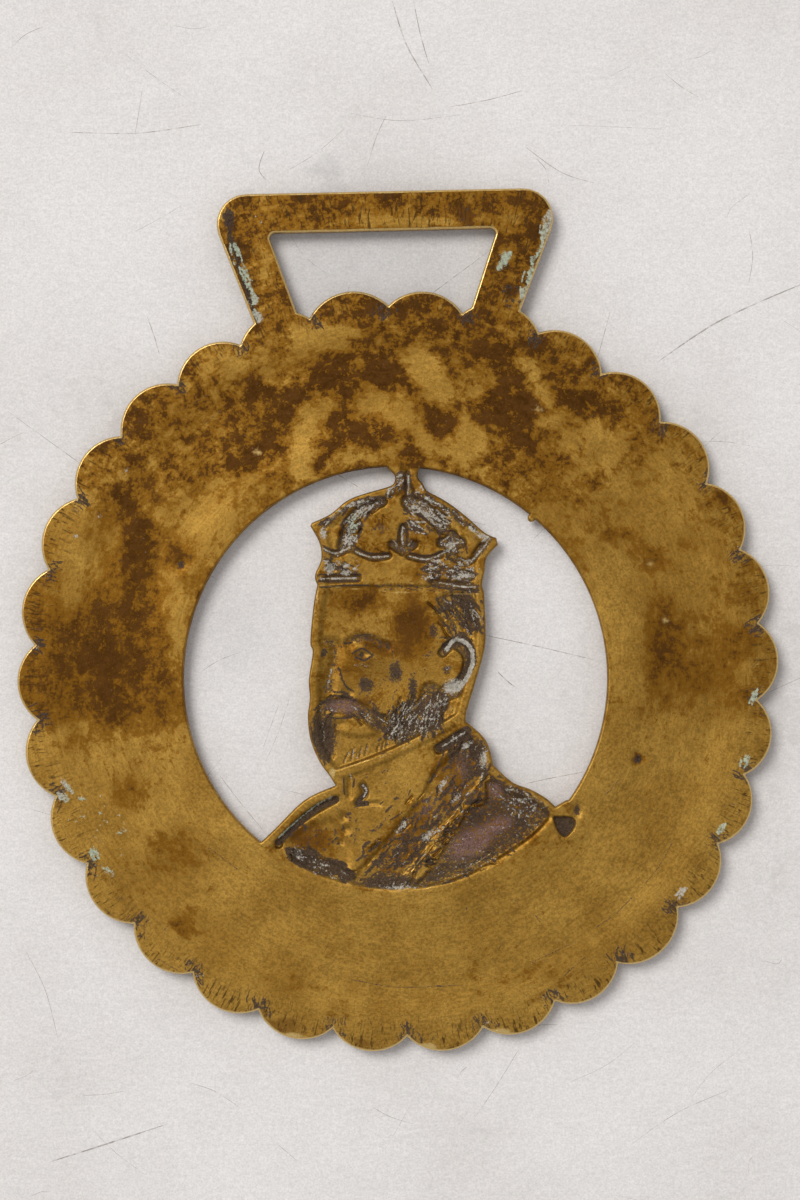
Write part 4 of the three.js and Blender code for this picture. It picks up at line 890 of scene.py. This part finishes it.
def moved_to(inset, at, passes=2):
    """Moves places across the slope of the distance until they lie that far inside the outline."""
    for _ in range(passes):
        slope = np.stack([sample(rise_x, at), sample(rise_y, at)], -1)
        slope /= np.sqrt(slope[:, :1] ** 2 + slope[:, 1:] ** 2) + 1e-9
        at = at + slope * ((inset - sample(edge_distance, at)) / CELL)[:, None]
    return at


def turned(faces, first):
    """The faces with the corner that first names put in the first place."""
    rows = np.arange(len(faces))
    return np.stack([faces[rows, (first + k) % 3] for k in range(3)], 1)


def trimmed(triangles):
    """The triangles cut off along the line EDGE inside the outline, as places on the grid and faces."""
    keys = triangles[..., 1] * (CELLS + 1) + triangles[..., 0]
    used, faces = np.unique(keys, return_inverse=True)
    faces = faces.reshape(-1, 3)
    grid = np.stack([used % (CELLS + 1), used // (CELLS + 1)], -1).astype(float)
    over = sample(edge_distance, grid) - EDGE
    snapped = np.abs(over) < 0.05
    grid[snapped] = moved_to(EDGE, grid[snapped])
    over[snapped | (np.abs(over) < 1e-6)] = 0

    side = np.sign(over)[faces]
    crossing, kept = side.min(1) < 0, (side > 0).sum(1)
    flat = (side == 0).all(1)
    flat_kept = faces[flat][sample(edge_distance, grid[faces[flat]].mean(1)) > EDGE]
    single = turned(faces[crossing & (kept == 1)], np.argmax(side[crossing & (kept == 1)] > 0, 1))
    pair = turned(faces[crossing & (kept == 2)], np.argmax(side[crossing & (kept == 2)] < 0, 1))
    cuts = np.concatenate([single[:, [0, 1]], single[:, [0, 2]], pair[:, [1, 0]], pair[:, [2, 0]]])
    needed = over[cuts[:, 1]] < 0
    cut_keys = cuts.min(1) * len(grid) + cuts.max(1)
    unique_keys, first_use = np.unique(cut_keys[needed], return_index=True)
    ends = np.sort(cuts[needed][first_use], 1)
    share = (over[ends[:, 0]] / (over[ends[:, 0]] - over[ends[:, 1]]))[:, None]
    cut_points = moved_to(EDGE, grid[ends[:, 0]] + (grid[ends[:, 1]] - grid[ends[:, 0]]) * share, 1)
    added = len(grid) + np.searchsorted(unique_keys, cut_keys).clip(0, len(unique_keys) - 1)
    s1, s2, p1, p2 = np.split(np.where(needed, added, cuts[:, 1]),
                              np.cumsum([len(single), len(single), len(pair)]))
    trimmed_faces = np.concatenate([
        faces[~crossing & (kept > 0)], flat_kept, np.stack([single[:, 0], s1, s2], 1),
        np.stack([pair[:, 1], pair[:, 2], p2], 1), np.stack([pair[:, 1], p2, p1], 1)])
    kept_points, trimmed_faces = np.unique(trimmed_faces, return_inverse=True)
    return np.concatenate([grid, cut_points])[kept_points], trimmed_faces.reshape(-1, 3)


def rim_of(places, faces):
    """The free sides of the faces, with their points in order of place, and those points."""
    edges = np.concatenate([faces[:, [0, 1]], faces[:, [1, 2]], faces[:, [2, 0]]])
    count = len(places)
    free = edges[~np.isin(edges[:, 0] * count + edges[:, 1], edges[:, 1] * count + edges[:, 0])]
    rim, free = np.unique(free, return_inverse=True)
    order = np.lexsort(np.round(places[rim], 5).T)
    return rim[order], np.argsort(order)[free.reshape(-1, 2)]


stains = [(layer.depth, STAIN_TOLERANCE) for layer in (dirt_and_shade, chalk, tarnish)]
back_needs = halving_needs([(hollow_height, TOLERANCE), (front_height, FRONT_TOLERANCE), *stains], 0 * plan)
shared_needs = np.where(np.abs(plan - EDGE) < SHARED_BAND, back_needs, 0)
front_needs = halving_needs([(front_height, FRONT_TOLERANCE)], shared_needs)
back_places, back_faces = trimmed(halved_triangles(back_needs))
front_places, front_faces = trimmed(halved_triangles(front_needs))

# ==== The mesh =========================================================================================
# The back's rim and the front's have the same points. Five rows of narrow triangles run round the edge
# from one to the other: two on a quarter round, an upright one, and two on another quarter round.
rim, rim_edges = rim_of(back_places, back_faces)
front_rim, _ = rim_of(front_places, front_faces)
outer = moved_to(0, back_places[rim], 3)
slopes = [np.gradient(height, CELL) for height in (hollow_height, front_height)]


def upright(at, slope, sign):
    """Unit normals of a height field, up for sign 1 and down for sign -1."""
    lean_x, lean_y = (-sample(part, at) * sign for part in (slope[1], slope[0]))
    normal = np.stack([lean_x, lean_y, np.full(len(at), sign)], -1)
    return normal / np.linalg.norm(normal, axis=1, keepdims=True)


def in_mm(at):
    return (at - CELLS / 2) * CELL


back_z, front_z = sample(hollow_height, back_places), sample(front_height, front_places)
rim_mm, outer_mm = in_mm(back_places[rim]), in_mm(outer)
outward = outer_mm - rim_mm
outward /= np.linalg.norm(outward, axis=1, keepdims=True) + 1e-9
points = [np.column_stack([in_mm(back_places), back_z]), np.column_stack([in_mm(front_places), front_z])]
normals = [upright(back_places, slopes[0], 1.0), upright(front_places, slopes[1], -1.0)]
rows = [rim]
next_index = len(back_places) + len(front_places)
for degrees, sign in ((40, 1), (90, 1), (90, -1), (40, -1)):
    turn = math.radians(degrees)
    base = back_z[rim] if sign == 1 else front_z[front_rim]
    points.append(np.column_stack([rim_mm + (outer_mm - rim_mm) * math.sin(turn),
                                   base - sign * EDGE * (1 - math.cos(turn))]))
    normals.append(np.column_stack([outward * math.sin(turn), np.full(len(rim), sign * math.cos(turn))]))
    rows.append(next_index + np.arange(len(rim)))
    next_index += len(rim)
rows.append(len(back_places) + front_rim)
a, b = rim_edges[:, 0], rim_edges[:, 1]
walls = []
for upper, lower in zip(rows[:-1], rows[1:]):
    walls.append(np.column_stack([upper[b], upper[a], lower[a]]))
    walls.append(np.column_stack([upper[b], lower[a], lower[b]]))

all_points = np.concatenate(points) * MM
all_normals = np.concatenate(normals)
all_faces = np.concatenate([back_faces, front_faces[:, ::-1] + len(back_places), *walls])

mesh = bpy.data.meshes.new("brass")
mesh.from_pydata(all_points, [], all_faces)
mesh.polygons.foreach_set("use_smooth", np.ones(len(all_faces), bool))
mesh.update()
mesh.normals_split_custom_set_from_vertices(all_normals)
RUBBED_AND_HIGHLIGHT_SHARES = (1, 0.45, 0.4, 0.4)     # how bright the worn edge and its painted highlight are on each row, from the back down
for name, layer in STAINS.items():
    above = sample(layer.depth, back_places)
    below = 0.4 * sample(tarnish.depth, front_places) if name == "tarnish" else np.zeros(len(front_places))
    around = sample(layer.depth, outer) * (1 if name in ("tarnish", "rubbed_and_highlight") else 0.4)
    shares = RUBBED_AND_HIGHLIGHT_SHARES if name == "rubbed_and_highlight" else (1, 1, 1, 1)
    values = np.concatenate([above, below, np.outer(shares, around).ravel()])
    mesh.attributes.new(name, "FLOAT", "POINT").data.foreach_set("value", values.astype(np.float32))


def placed(name, data):
    """A new object in the scene."""
    item = bpy.data.objects.new(name, data)
    bpy.context.scene.collection.objects.link(item)
    return item


brass = placed("cast_brass", mesh)
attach(brass, "root")
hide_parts("horse_brass")


# ==== The finish =======================================================================================
class Signal:
    """A socket of a material's nodes. Sums written with it add their Math nodes."""

    def __init__(self, tree, socket=None):
        self.tree, self.socket = tree, socket

    def node(self, kind, settings, inputs, output=0):
        """Adds a node: its settings first, then the values or links of its sockets."""
        node = self.tree.nodes.new(kind)
        for name, value in settings.items():
            setattr(node, name, value)
        for name, value in inputs.items():
            if isinstance(value, Signal):
                self.tree.links.new(value.socket, node.inputs[name])
            else:
                node.inputs[name].default_value = value
        return Signal(self.tree, node.outputs[output])

    def feed(self, shader, name):
        """Links this to a socket of the shader."""
        self.tree.links.new(self.socket, shader.inputs[name])

    def maths(self, operation, *values):
        """Maths on the values alone."""
        return self.node("ShaderNodeMath", {"operation": operation}, dict(enumerate(values)))

    def vector(self, operation, *values, output=0):
        """Vector maths on this and the values."""
        values = dict(enumerate((self, *values)))
        return self.node("ShaderNodeVectorMath", {"operation": operation}, values, output)

    def __add__(self, other):
        return self.maths("ADD", self, other)

    def __sub__(self, other):
        return self.maths("SUBTRACT", self, other)

    def __rsub__(self, other):
        return self.maths("SUBTRACT", other, self)

    def __mul__(self, other):
        return self.maths("MULTIPLY", self, other)

    __radd__, __rmul__ = __add__, __mul__

    def times(self, share):
        """The colour times a number."""
        return self.node("ShaderNodeVectorMath", {"operation": "SCALE"}, {0: self, "Scale": share})

    def step(self, low, high):
        """0 below low, 1 above high, smooth between them."""
        return self.node("ShaderNodeMapRange", {"interpolation_type": "SMOOTHSTEP"},
                         {"Value": self, "From Min": low, "From Max": high})

    def blend(self, first, second):
        """The first colour where this is 0, the second where it is 1."""
        first, second = (c if isinstance(c, Signal) else (*c, 1) for c in (first, second))
        return self.node("ShaderNodeMix", {"data_type": "RGBA"}, {0: self, 6: first, 7: second}, 2)

    def mapped(self, scale, location=(0, 0, 0)):
        """These places scaled along each axis, then moved."""
        return self.node("ShaderNodeMapping", {}, {"Vector": self, "Location": location, "Scale": scale})

    def noise(self, scale, detail=4.0, roughness=0.55, distortion=0.0):
        """Noise at these places."""
        return self.node("ShaderNodeTexNoise", {}, {"Vector": self, "Scale": scale, "Detail": detail,
                                                    "Roughness": roughness, "Distortion": distortion})


def new_material(name):
    """A new material, its shader and its Object coordinates."""
    material = bpy.data.materials.new(name)
    material.use_nodes = True
    coordinates = Signal(material.node_tree).node("ShaderNodeTexCoord", {}, {}, "Object")
    return material, material.node_tree.nodes["Principled BSDF"], coordinates


IN_MM = (1000, 1000, 1000)
finish, shader, objects = new_material("old_brass")
where = objects.mapped(IN_MM, (0, MIDDLE, 0))
stain = {name: objects.node("ShaderNodeAttribute", {"attribute_name": name}, {}, "Fac") for name in STAINS}
cloud = where.noise(0.16, 5, 0.6)
ragged = where.noise(0.7, 9, 0.72, 0.25)
grit = where.noise(3.4, 5, 0.66)
grain = where.noise(11.0, 3, 0.6)

# places counted along the ring and across it, so that strokes follow it or cross it
reach = where.vector("LENGTH", output="Value")
polar = where.vector("NORMALIZE").vector(
    "MULTIPLY_ADD", (36, 36, 0), reach.node("ShaderNodeCombineXYZ", {}, {"Z": reach}))
streaks = polar.mapped((0.45, 0.45, 1.2)).noise(1.0, 6, 0.65, 0.6)
brushed = polar.mapped((0.7, 0.7, 4.5)).noise(1.0, 5, 0.6, 0.3)
filed = polar.mapped((4.5, 4.5, 0.8)).noise(1.0, 4, 0.6, 0.5)

gold = (cloud * 0.6 + ragged * 0.4).step(0.38, 0.62).blend((0.34, 0.178, 0.030), (0.50, 0.285, 0.056))
gold = ((grit - 0.5) * 1.3 + (brushed - 0.5) * 0.6 + (grain - 0.5) * 0.5 + 0.5).step(0.3, 0.7).blend(
    gold.times(0.68), gold.times(1.08))
upper = where.node("ShaderNodeSeparateXYZ", {}, {0: where}, 1).step(12, 22)
spread = (stain["tarnish"] + (ragged - 0.5) * (upper * 1.0 + 1.5) + (streaks - 0.5) * 0.9 + (grit - 0.5) * 1.0
          + (cloud - 0.5) * 0.5)
thin = spread.step(0.20, 0.52)
thick = (spread - (1 - upper) * 0.04).step(upper * 0.06 + 0.48, 0.86 - upper * 0.08)
colour = (thin * 0.9).blend(gold, (0.20, 0.083, 0.007))
dark_brown = (grit * 0.5 + streaks * 0.5).step(0.38, 0.62).blend((0.050, 0.019, 0.004), (0.105, 0.043, 0.010))
colour = (thick * 0.94).blend(colour, dark_brown)
reddish = (stain["rust"] + (ragged - 0.5) * 2.2 + (grit - 0.5) * 0.8).step(0.35, 0.75)
colour = (reddish * 0.65).blend(colour, (0.15, 0.062, 0.011))
pits = ((grain - 0.5) + (grit - 0.5) * 0.7).step(0.2, 0.3)
colour = (pits * 0.55).blend(colour, (0.10, 0.05, 0.02))
strokes = filed.step(0.54, 0.64) * (reach + ragged * 6).step(37.8, 41.0)
colour = (strokes * 0.85).blend(colour, (0.06, 0.030, 0.010))

# Dark dirt, which also carries the painted shadow lines in the crown and the painted shade in the bust's
# deepest places.
filth_and_shade = (stain["dirt_and_shade"] + (grit - 0.5) * 1.5 + (grain - 0.5) * 0.7).step(0.36, 0.62)
dirt_and_shade_colour = stain["plum"].step(0.2, 0.8).blend((0.020, 0.013, 0.009), (0.058, 0.033, 0.028))
dirt_and_shade_colour = (grain * 0.6 + grit * 0.4).step(0.40, 0.60).blend(dirt_and_shade_colour, dirt_and_shade_colour.times(5.0))
colour = (filth_and_shade * 0.93).blend(colour, dirt_and_shade_colour)
# Rubbed bright brass, partly wear and partly a painted highlight along the edges and the bust's walls that
# face the light.
rubbed_with_highlight = (stain["rubbed_and_highlight"] + (grit - 0.5) * 0.5 + (ragged - 0.5) * 0.8).step(0.3, 0.8) * (1 - filth_and_shade * 0.5)
colour = (rubbed_with_highlight * 0.85).blend(colour, (0.92, 0.64, 0.24))
powder = (stain["chalk"] + (grit - 0.5) * 1.6 + (grain - 0.5) * 1.2).step(0.34, 0.68)
chalk_colour = stain["green"].step(0.2, 0.8).blend((0.60, 0.55, 0.46), (0.52, 0.58, 0.43))
chalk_colour = (grit * 0.6 + grain * 0.4).step(0.40, 0.60).blend(chalk_colour.times(0.5), chalk_colour)
colour = (powder * 0.88).blend(colour, chalk_colour)

deposit_and_shade = filth_and_shade.maths("MAXIMUM", filth_and_shade * 0.85, powder)
relief = grit * 0.5 + grain * 0.25 + brushed * 0.3 + deposit_and_shade * 0.25
roughness = 0.5 + thick * 0.08 + deposit_and_shade * 0.35 + (grit - 0.5) * 0.2 - rubbed_with_highlight * 0.26
colour.feed(shader, "Base Color")
roughness.feed(shader, "Roughness")
(1 - deposit_and_shade * 0.95).feed(shader, "Metallic")
shader.inputs["Specular IOR Level"].default_value = 0.15
relief.node("ShaderNodeBump", {}, {"Height": relief, "Strength": 0.5, "Distance": 0.00006}, "Normal").feed(
    shader, "Normal")
mesh.materials.append(finish)

# ==== The table ========================================================================================
# A plain pale stone top with faint grey clouds, fine grain and a few hairline scratches.
FLOOR = -0.00003
TABLE_REACH = 0.6                  # half the side of the table top
floor_mesh = bpy.data.meshes.new("table_top")
corners = [(x * TABLE_REACH, y * TABLE_REACH, FLOOR) for x, y in [(-1, -1), (1, -1), (1, 1), (-1, 1)]]
floor_mesh.from_pydata(corners, [], [(0, 1, 2, 3)])
# painted shade in the hanger's slot and inside the opening's left side, and a smudge on the stone above the
# hanger: each has its centre, its inner and its outer reach, and how much it darkens
SHADE_AND_SMUDGE = [((-2, 36), 5, 15, 0.42), ((-17, -1), 1, 8, 0.18), ((-7, 46.4), 0.2, 2.4, 0.25)]
stone, shader, objects = new_material("pale_stone")
where = objects.mapped(IN_MM)
cloud = where.noise(0.035, 6, 0.62)
grit = where.noise(2.2, 6, 0.75)
spots = where.noise(0.5, 5, 0.7)
colour = cloud.step(0.35, 0.68).blend((0.86, 0.82, 0.79), (0.79, 0.745, 0.71))
colour = grit.step(0.36, 0.64).blend(colour.times(1.04), colour.times(0.94))
grain = where.noise(5.0, 3, 0.6)
colour = grain.step(0.36, 0.64).blend(colour.times(1.04), colour.times(0.92))
streaks = where.mapped((0.5, 1.5, 1.0)).noise(1.0, 8, 0.75, 1.5)
colour = streaks.step(0.36, 0.64).blend(colour.times(1.02), colour.times(0.955))
colour = ((spots + (cloud - 0.5) * 1.2).step(0.62, 0.8) * 0.3).blend(colour, (0.55, 0.52, 0.49))
# the painted shade and the smudge darken the stone
for centre, inner, outer_reach, share in SHADE_AND_SMUDGE:
    away = where.vector("DISTANCE", (*centre, 0), output="Value")
    shade = (away + (cloud - 0.5) * 12 + (spots - 0.5) * 8).step(outer_reach, inner)
    colour = (shade * share).blend(colour, colour.times(0.6))
relief = grit + spots * 0.5
colour.feed(shader, "Base Color")
relief.node("ShaderNodeBump", {}, {"Height": relief, "Strength": 0.25, "Distance": 0.0001}, "Normal").feed(
    shader, "Normal")
shader.inputs["Roughness"].default_value = 0.8
floor_mesh.materials.append(stone)
table_top = placed("table_top", floor_mesh)

# Hairline scratches in the stone are narrow ribbons that lie on it. Each follows a smooth line, and its
# width runs from nothing to its most in the middle and back.
SCRATCHES = [
    ([(26.8, 32.0), (33.5, 36.4), (42.5, 40.4)], 0.16), ([(-0.6, 69.4), (0.9, 64.8), (3.6, 60.2)], 0.14),
    ([(1.6, 69.4), (2.3, 66.0), (3.2, 62.8)], 0.10), ([(-34.0, 55.8), (-27.0, 55.7), (-20.4, 56.6)], 0.10),
    ([(-36.2, -50.8), (-30.5, -49.0), (-23.8, -46.8)], 0.16),
    ([(-40.5, 27.0), (-33.0, 21.6), (-26.5, 17.0)], 0.06), ([(7.8, 4.0), (14.4, 2.6), (20.3, 1.2)], 0.09),
    ([(10.3, 0.0), (11.2, -0.9), (12.2, -1.7)], 0.12), ([(13.2, -11.6), (16.0, -11.0), (19.2, -10.4)], 0.08),
    ([(24.0, -49.0), (29.0, -45.6), (35.0, -43.0)], 0.05), ([(1.5, 37.6), (5.5, 40.6), (9.3, 43.4)], 0.07),
    ([(-26.0, 36.8), (-25.2, 34.6), (-24.7, 32.8)], 0.09),
    ([(-13.8, 54.0), (-14.4, 52.0), (-13.6, 50.8)], 0.08),
    ([(13.0, 54.4), (17.0, 51.6), (21.0, 50.4)], 0.07),
    ([(-38.5, -29.0), (-36.5, -33.0), (-35.2, -38.0)], 0.05),
    ([(-6.0, 58.0), (0.0, 57.0), (6.5, 57.6)], 0.05)]
SMALL_SCRATCHES = 90
for _ in range(SMALL_SCRATCHES):
    place = np.array([seed.uniform(-45, 45), seed.uniform(-60, 72)])
    turn, length = seed.normal(0.2, 0.7), seed.uniform(0.8, 5)
    way = length * np.array([math.cos(turn), math.sin(turn)])
    line = [place, place + way + seed.normal(0, 0.25, 2), place + 2 * way]
    SCRATCHES.append((line, seed.uniform(0.03, 0.07)))
ribbon_points, ribbon_faces = [], []
for line, width in SCRATCHES:
    line = smooth_line(line, 10)
    way = np.gradient(line, axis=0)
    across = np.stack([-way[:, 1], way[:, 0]], 1) / np.linalg.norm(way, axis=1, keepdims=True)
    half = width / 2 * np.sqrt(np.sin(np.linspace(0.02, math.pi - 0.02, len(line))))[:, None]
    first, k = sum(len(p) for p in ribbon_points), np.arange(len(line) - 1)
    ribbon_points.append(np.concatenate([line - across * half, line + across * half]))
    ribbon_faces.append(first + np.stack([k, k + 1, k + 1 + len(line), k + len(line)], 1))
ribbon_points = np.concatenate(ribbon_points) - (0, MIDDLE)
ribbon_points = np.column_stack([ribbon_points, np.full(len(ribbon_points), 0.01)]) * MM + (0, 0, FLOOR)
scratch_mesh = bpy.data.meshes.new("scratches")
scratch_mesh.from_pydata(ribbon_points, [], np.concatenate(ribbon_faces))
scratched, shader, objects = new_material("scratched_stone")
(objects.mapped(IN_MM).noise(0.9, 4).step(0.35, 0.65) * 0.6 + 0.1).feed(shader, "Alpha")
shader.inputs["Base Color"].default_value = (0.42, 0.38, 0.35, 1)
shader.inputs["Roughness"].default_value = 0.9
scratch_mesh.materials.append(scratched)
scratches = placed("scratches", scratch_mesh)

# ==== Light and camera =================================================================================
bpy.context.scene.view_settings.view_transform = "Standard"
world = bpy.data.worlds.new("studio")
bpy.context.scene.world = world
world.use_nodes = True
world.node_tree.nodes["Background"].inputs["Color"].default_value = (0.97, 0.98, 1.0, 1)
world.node_tree.nodes["Background"].inputs["Strength"].default_value = 0.5

window_light = bpy.data.lights.new("window", "AREA")
window_light.shape = "DISK"
window_light.size = 1.1
window_light.energy = 25
light_object = placed("window", window_light)
light_object.location = (-0.85, 0.8, 1.75)
light_object.rotation_mode = "QUATERNION"
light_object.rotation_quaternion = (-light_object.location).to_track_quat("-Z", "Y")

camera = bpy.data.cameras.new("camera")
camera.lens = 90
camera_object = placed("camera", camera)
camera_object.location = (0.0002, 0.00208, 0.3083 + 0.0021)
bpy.context.scene.camera = camera_object
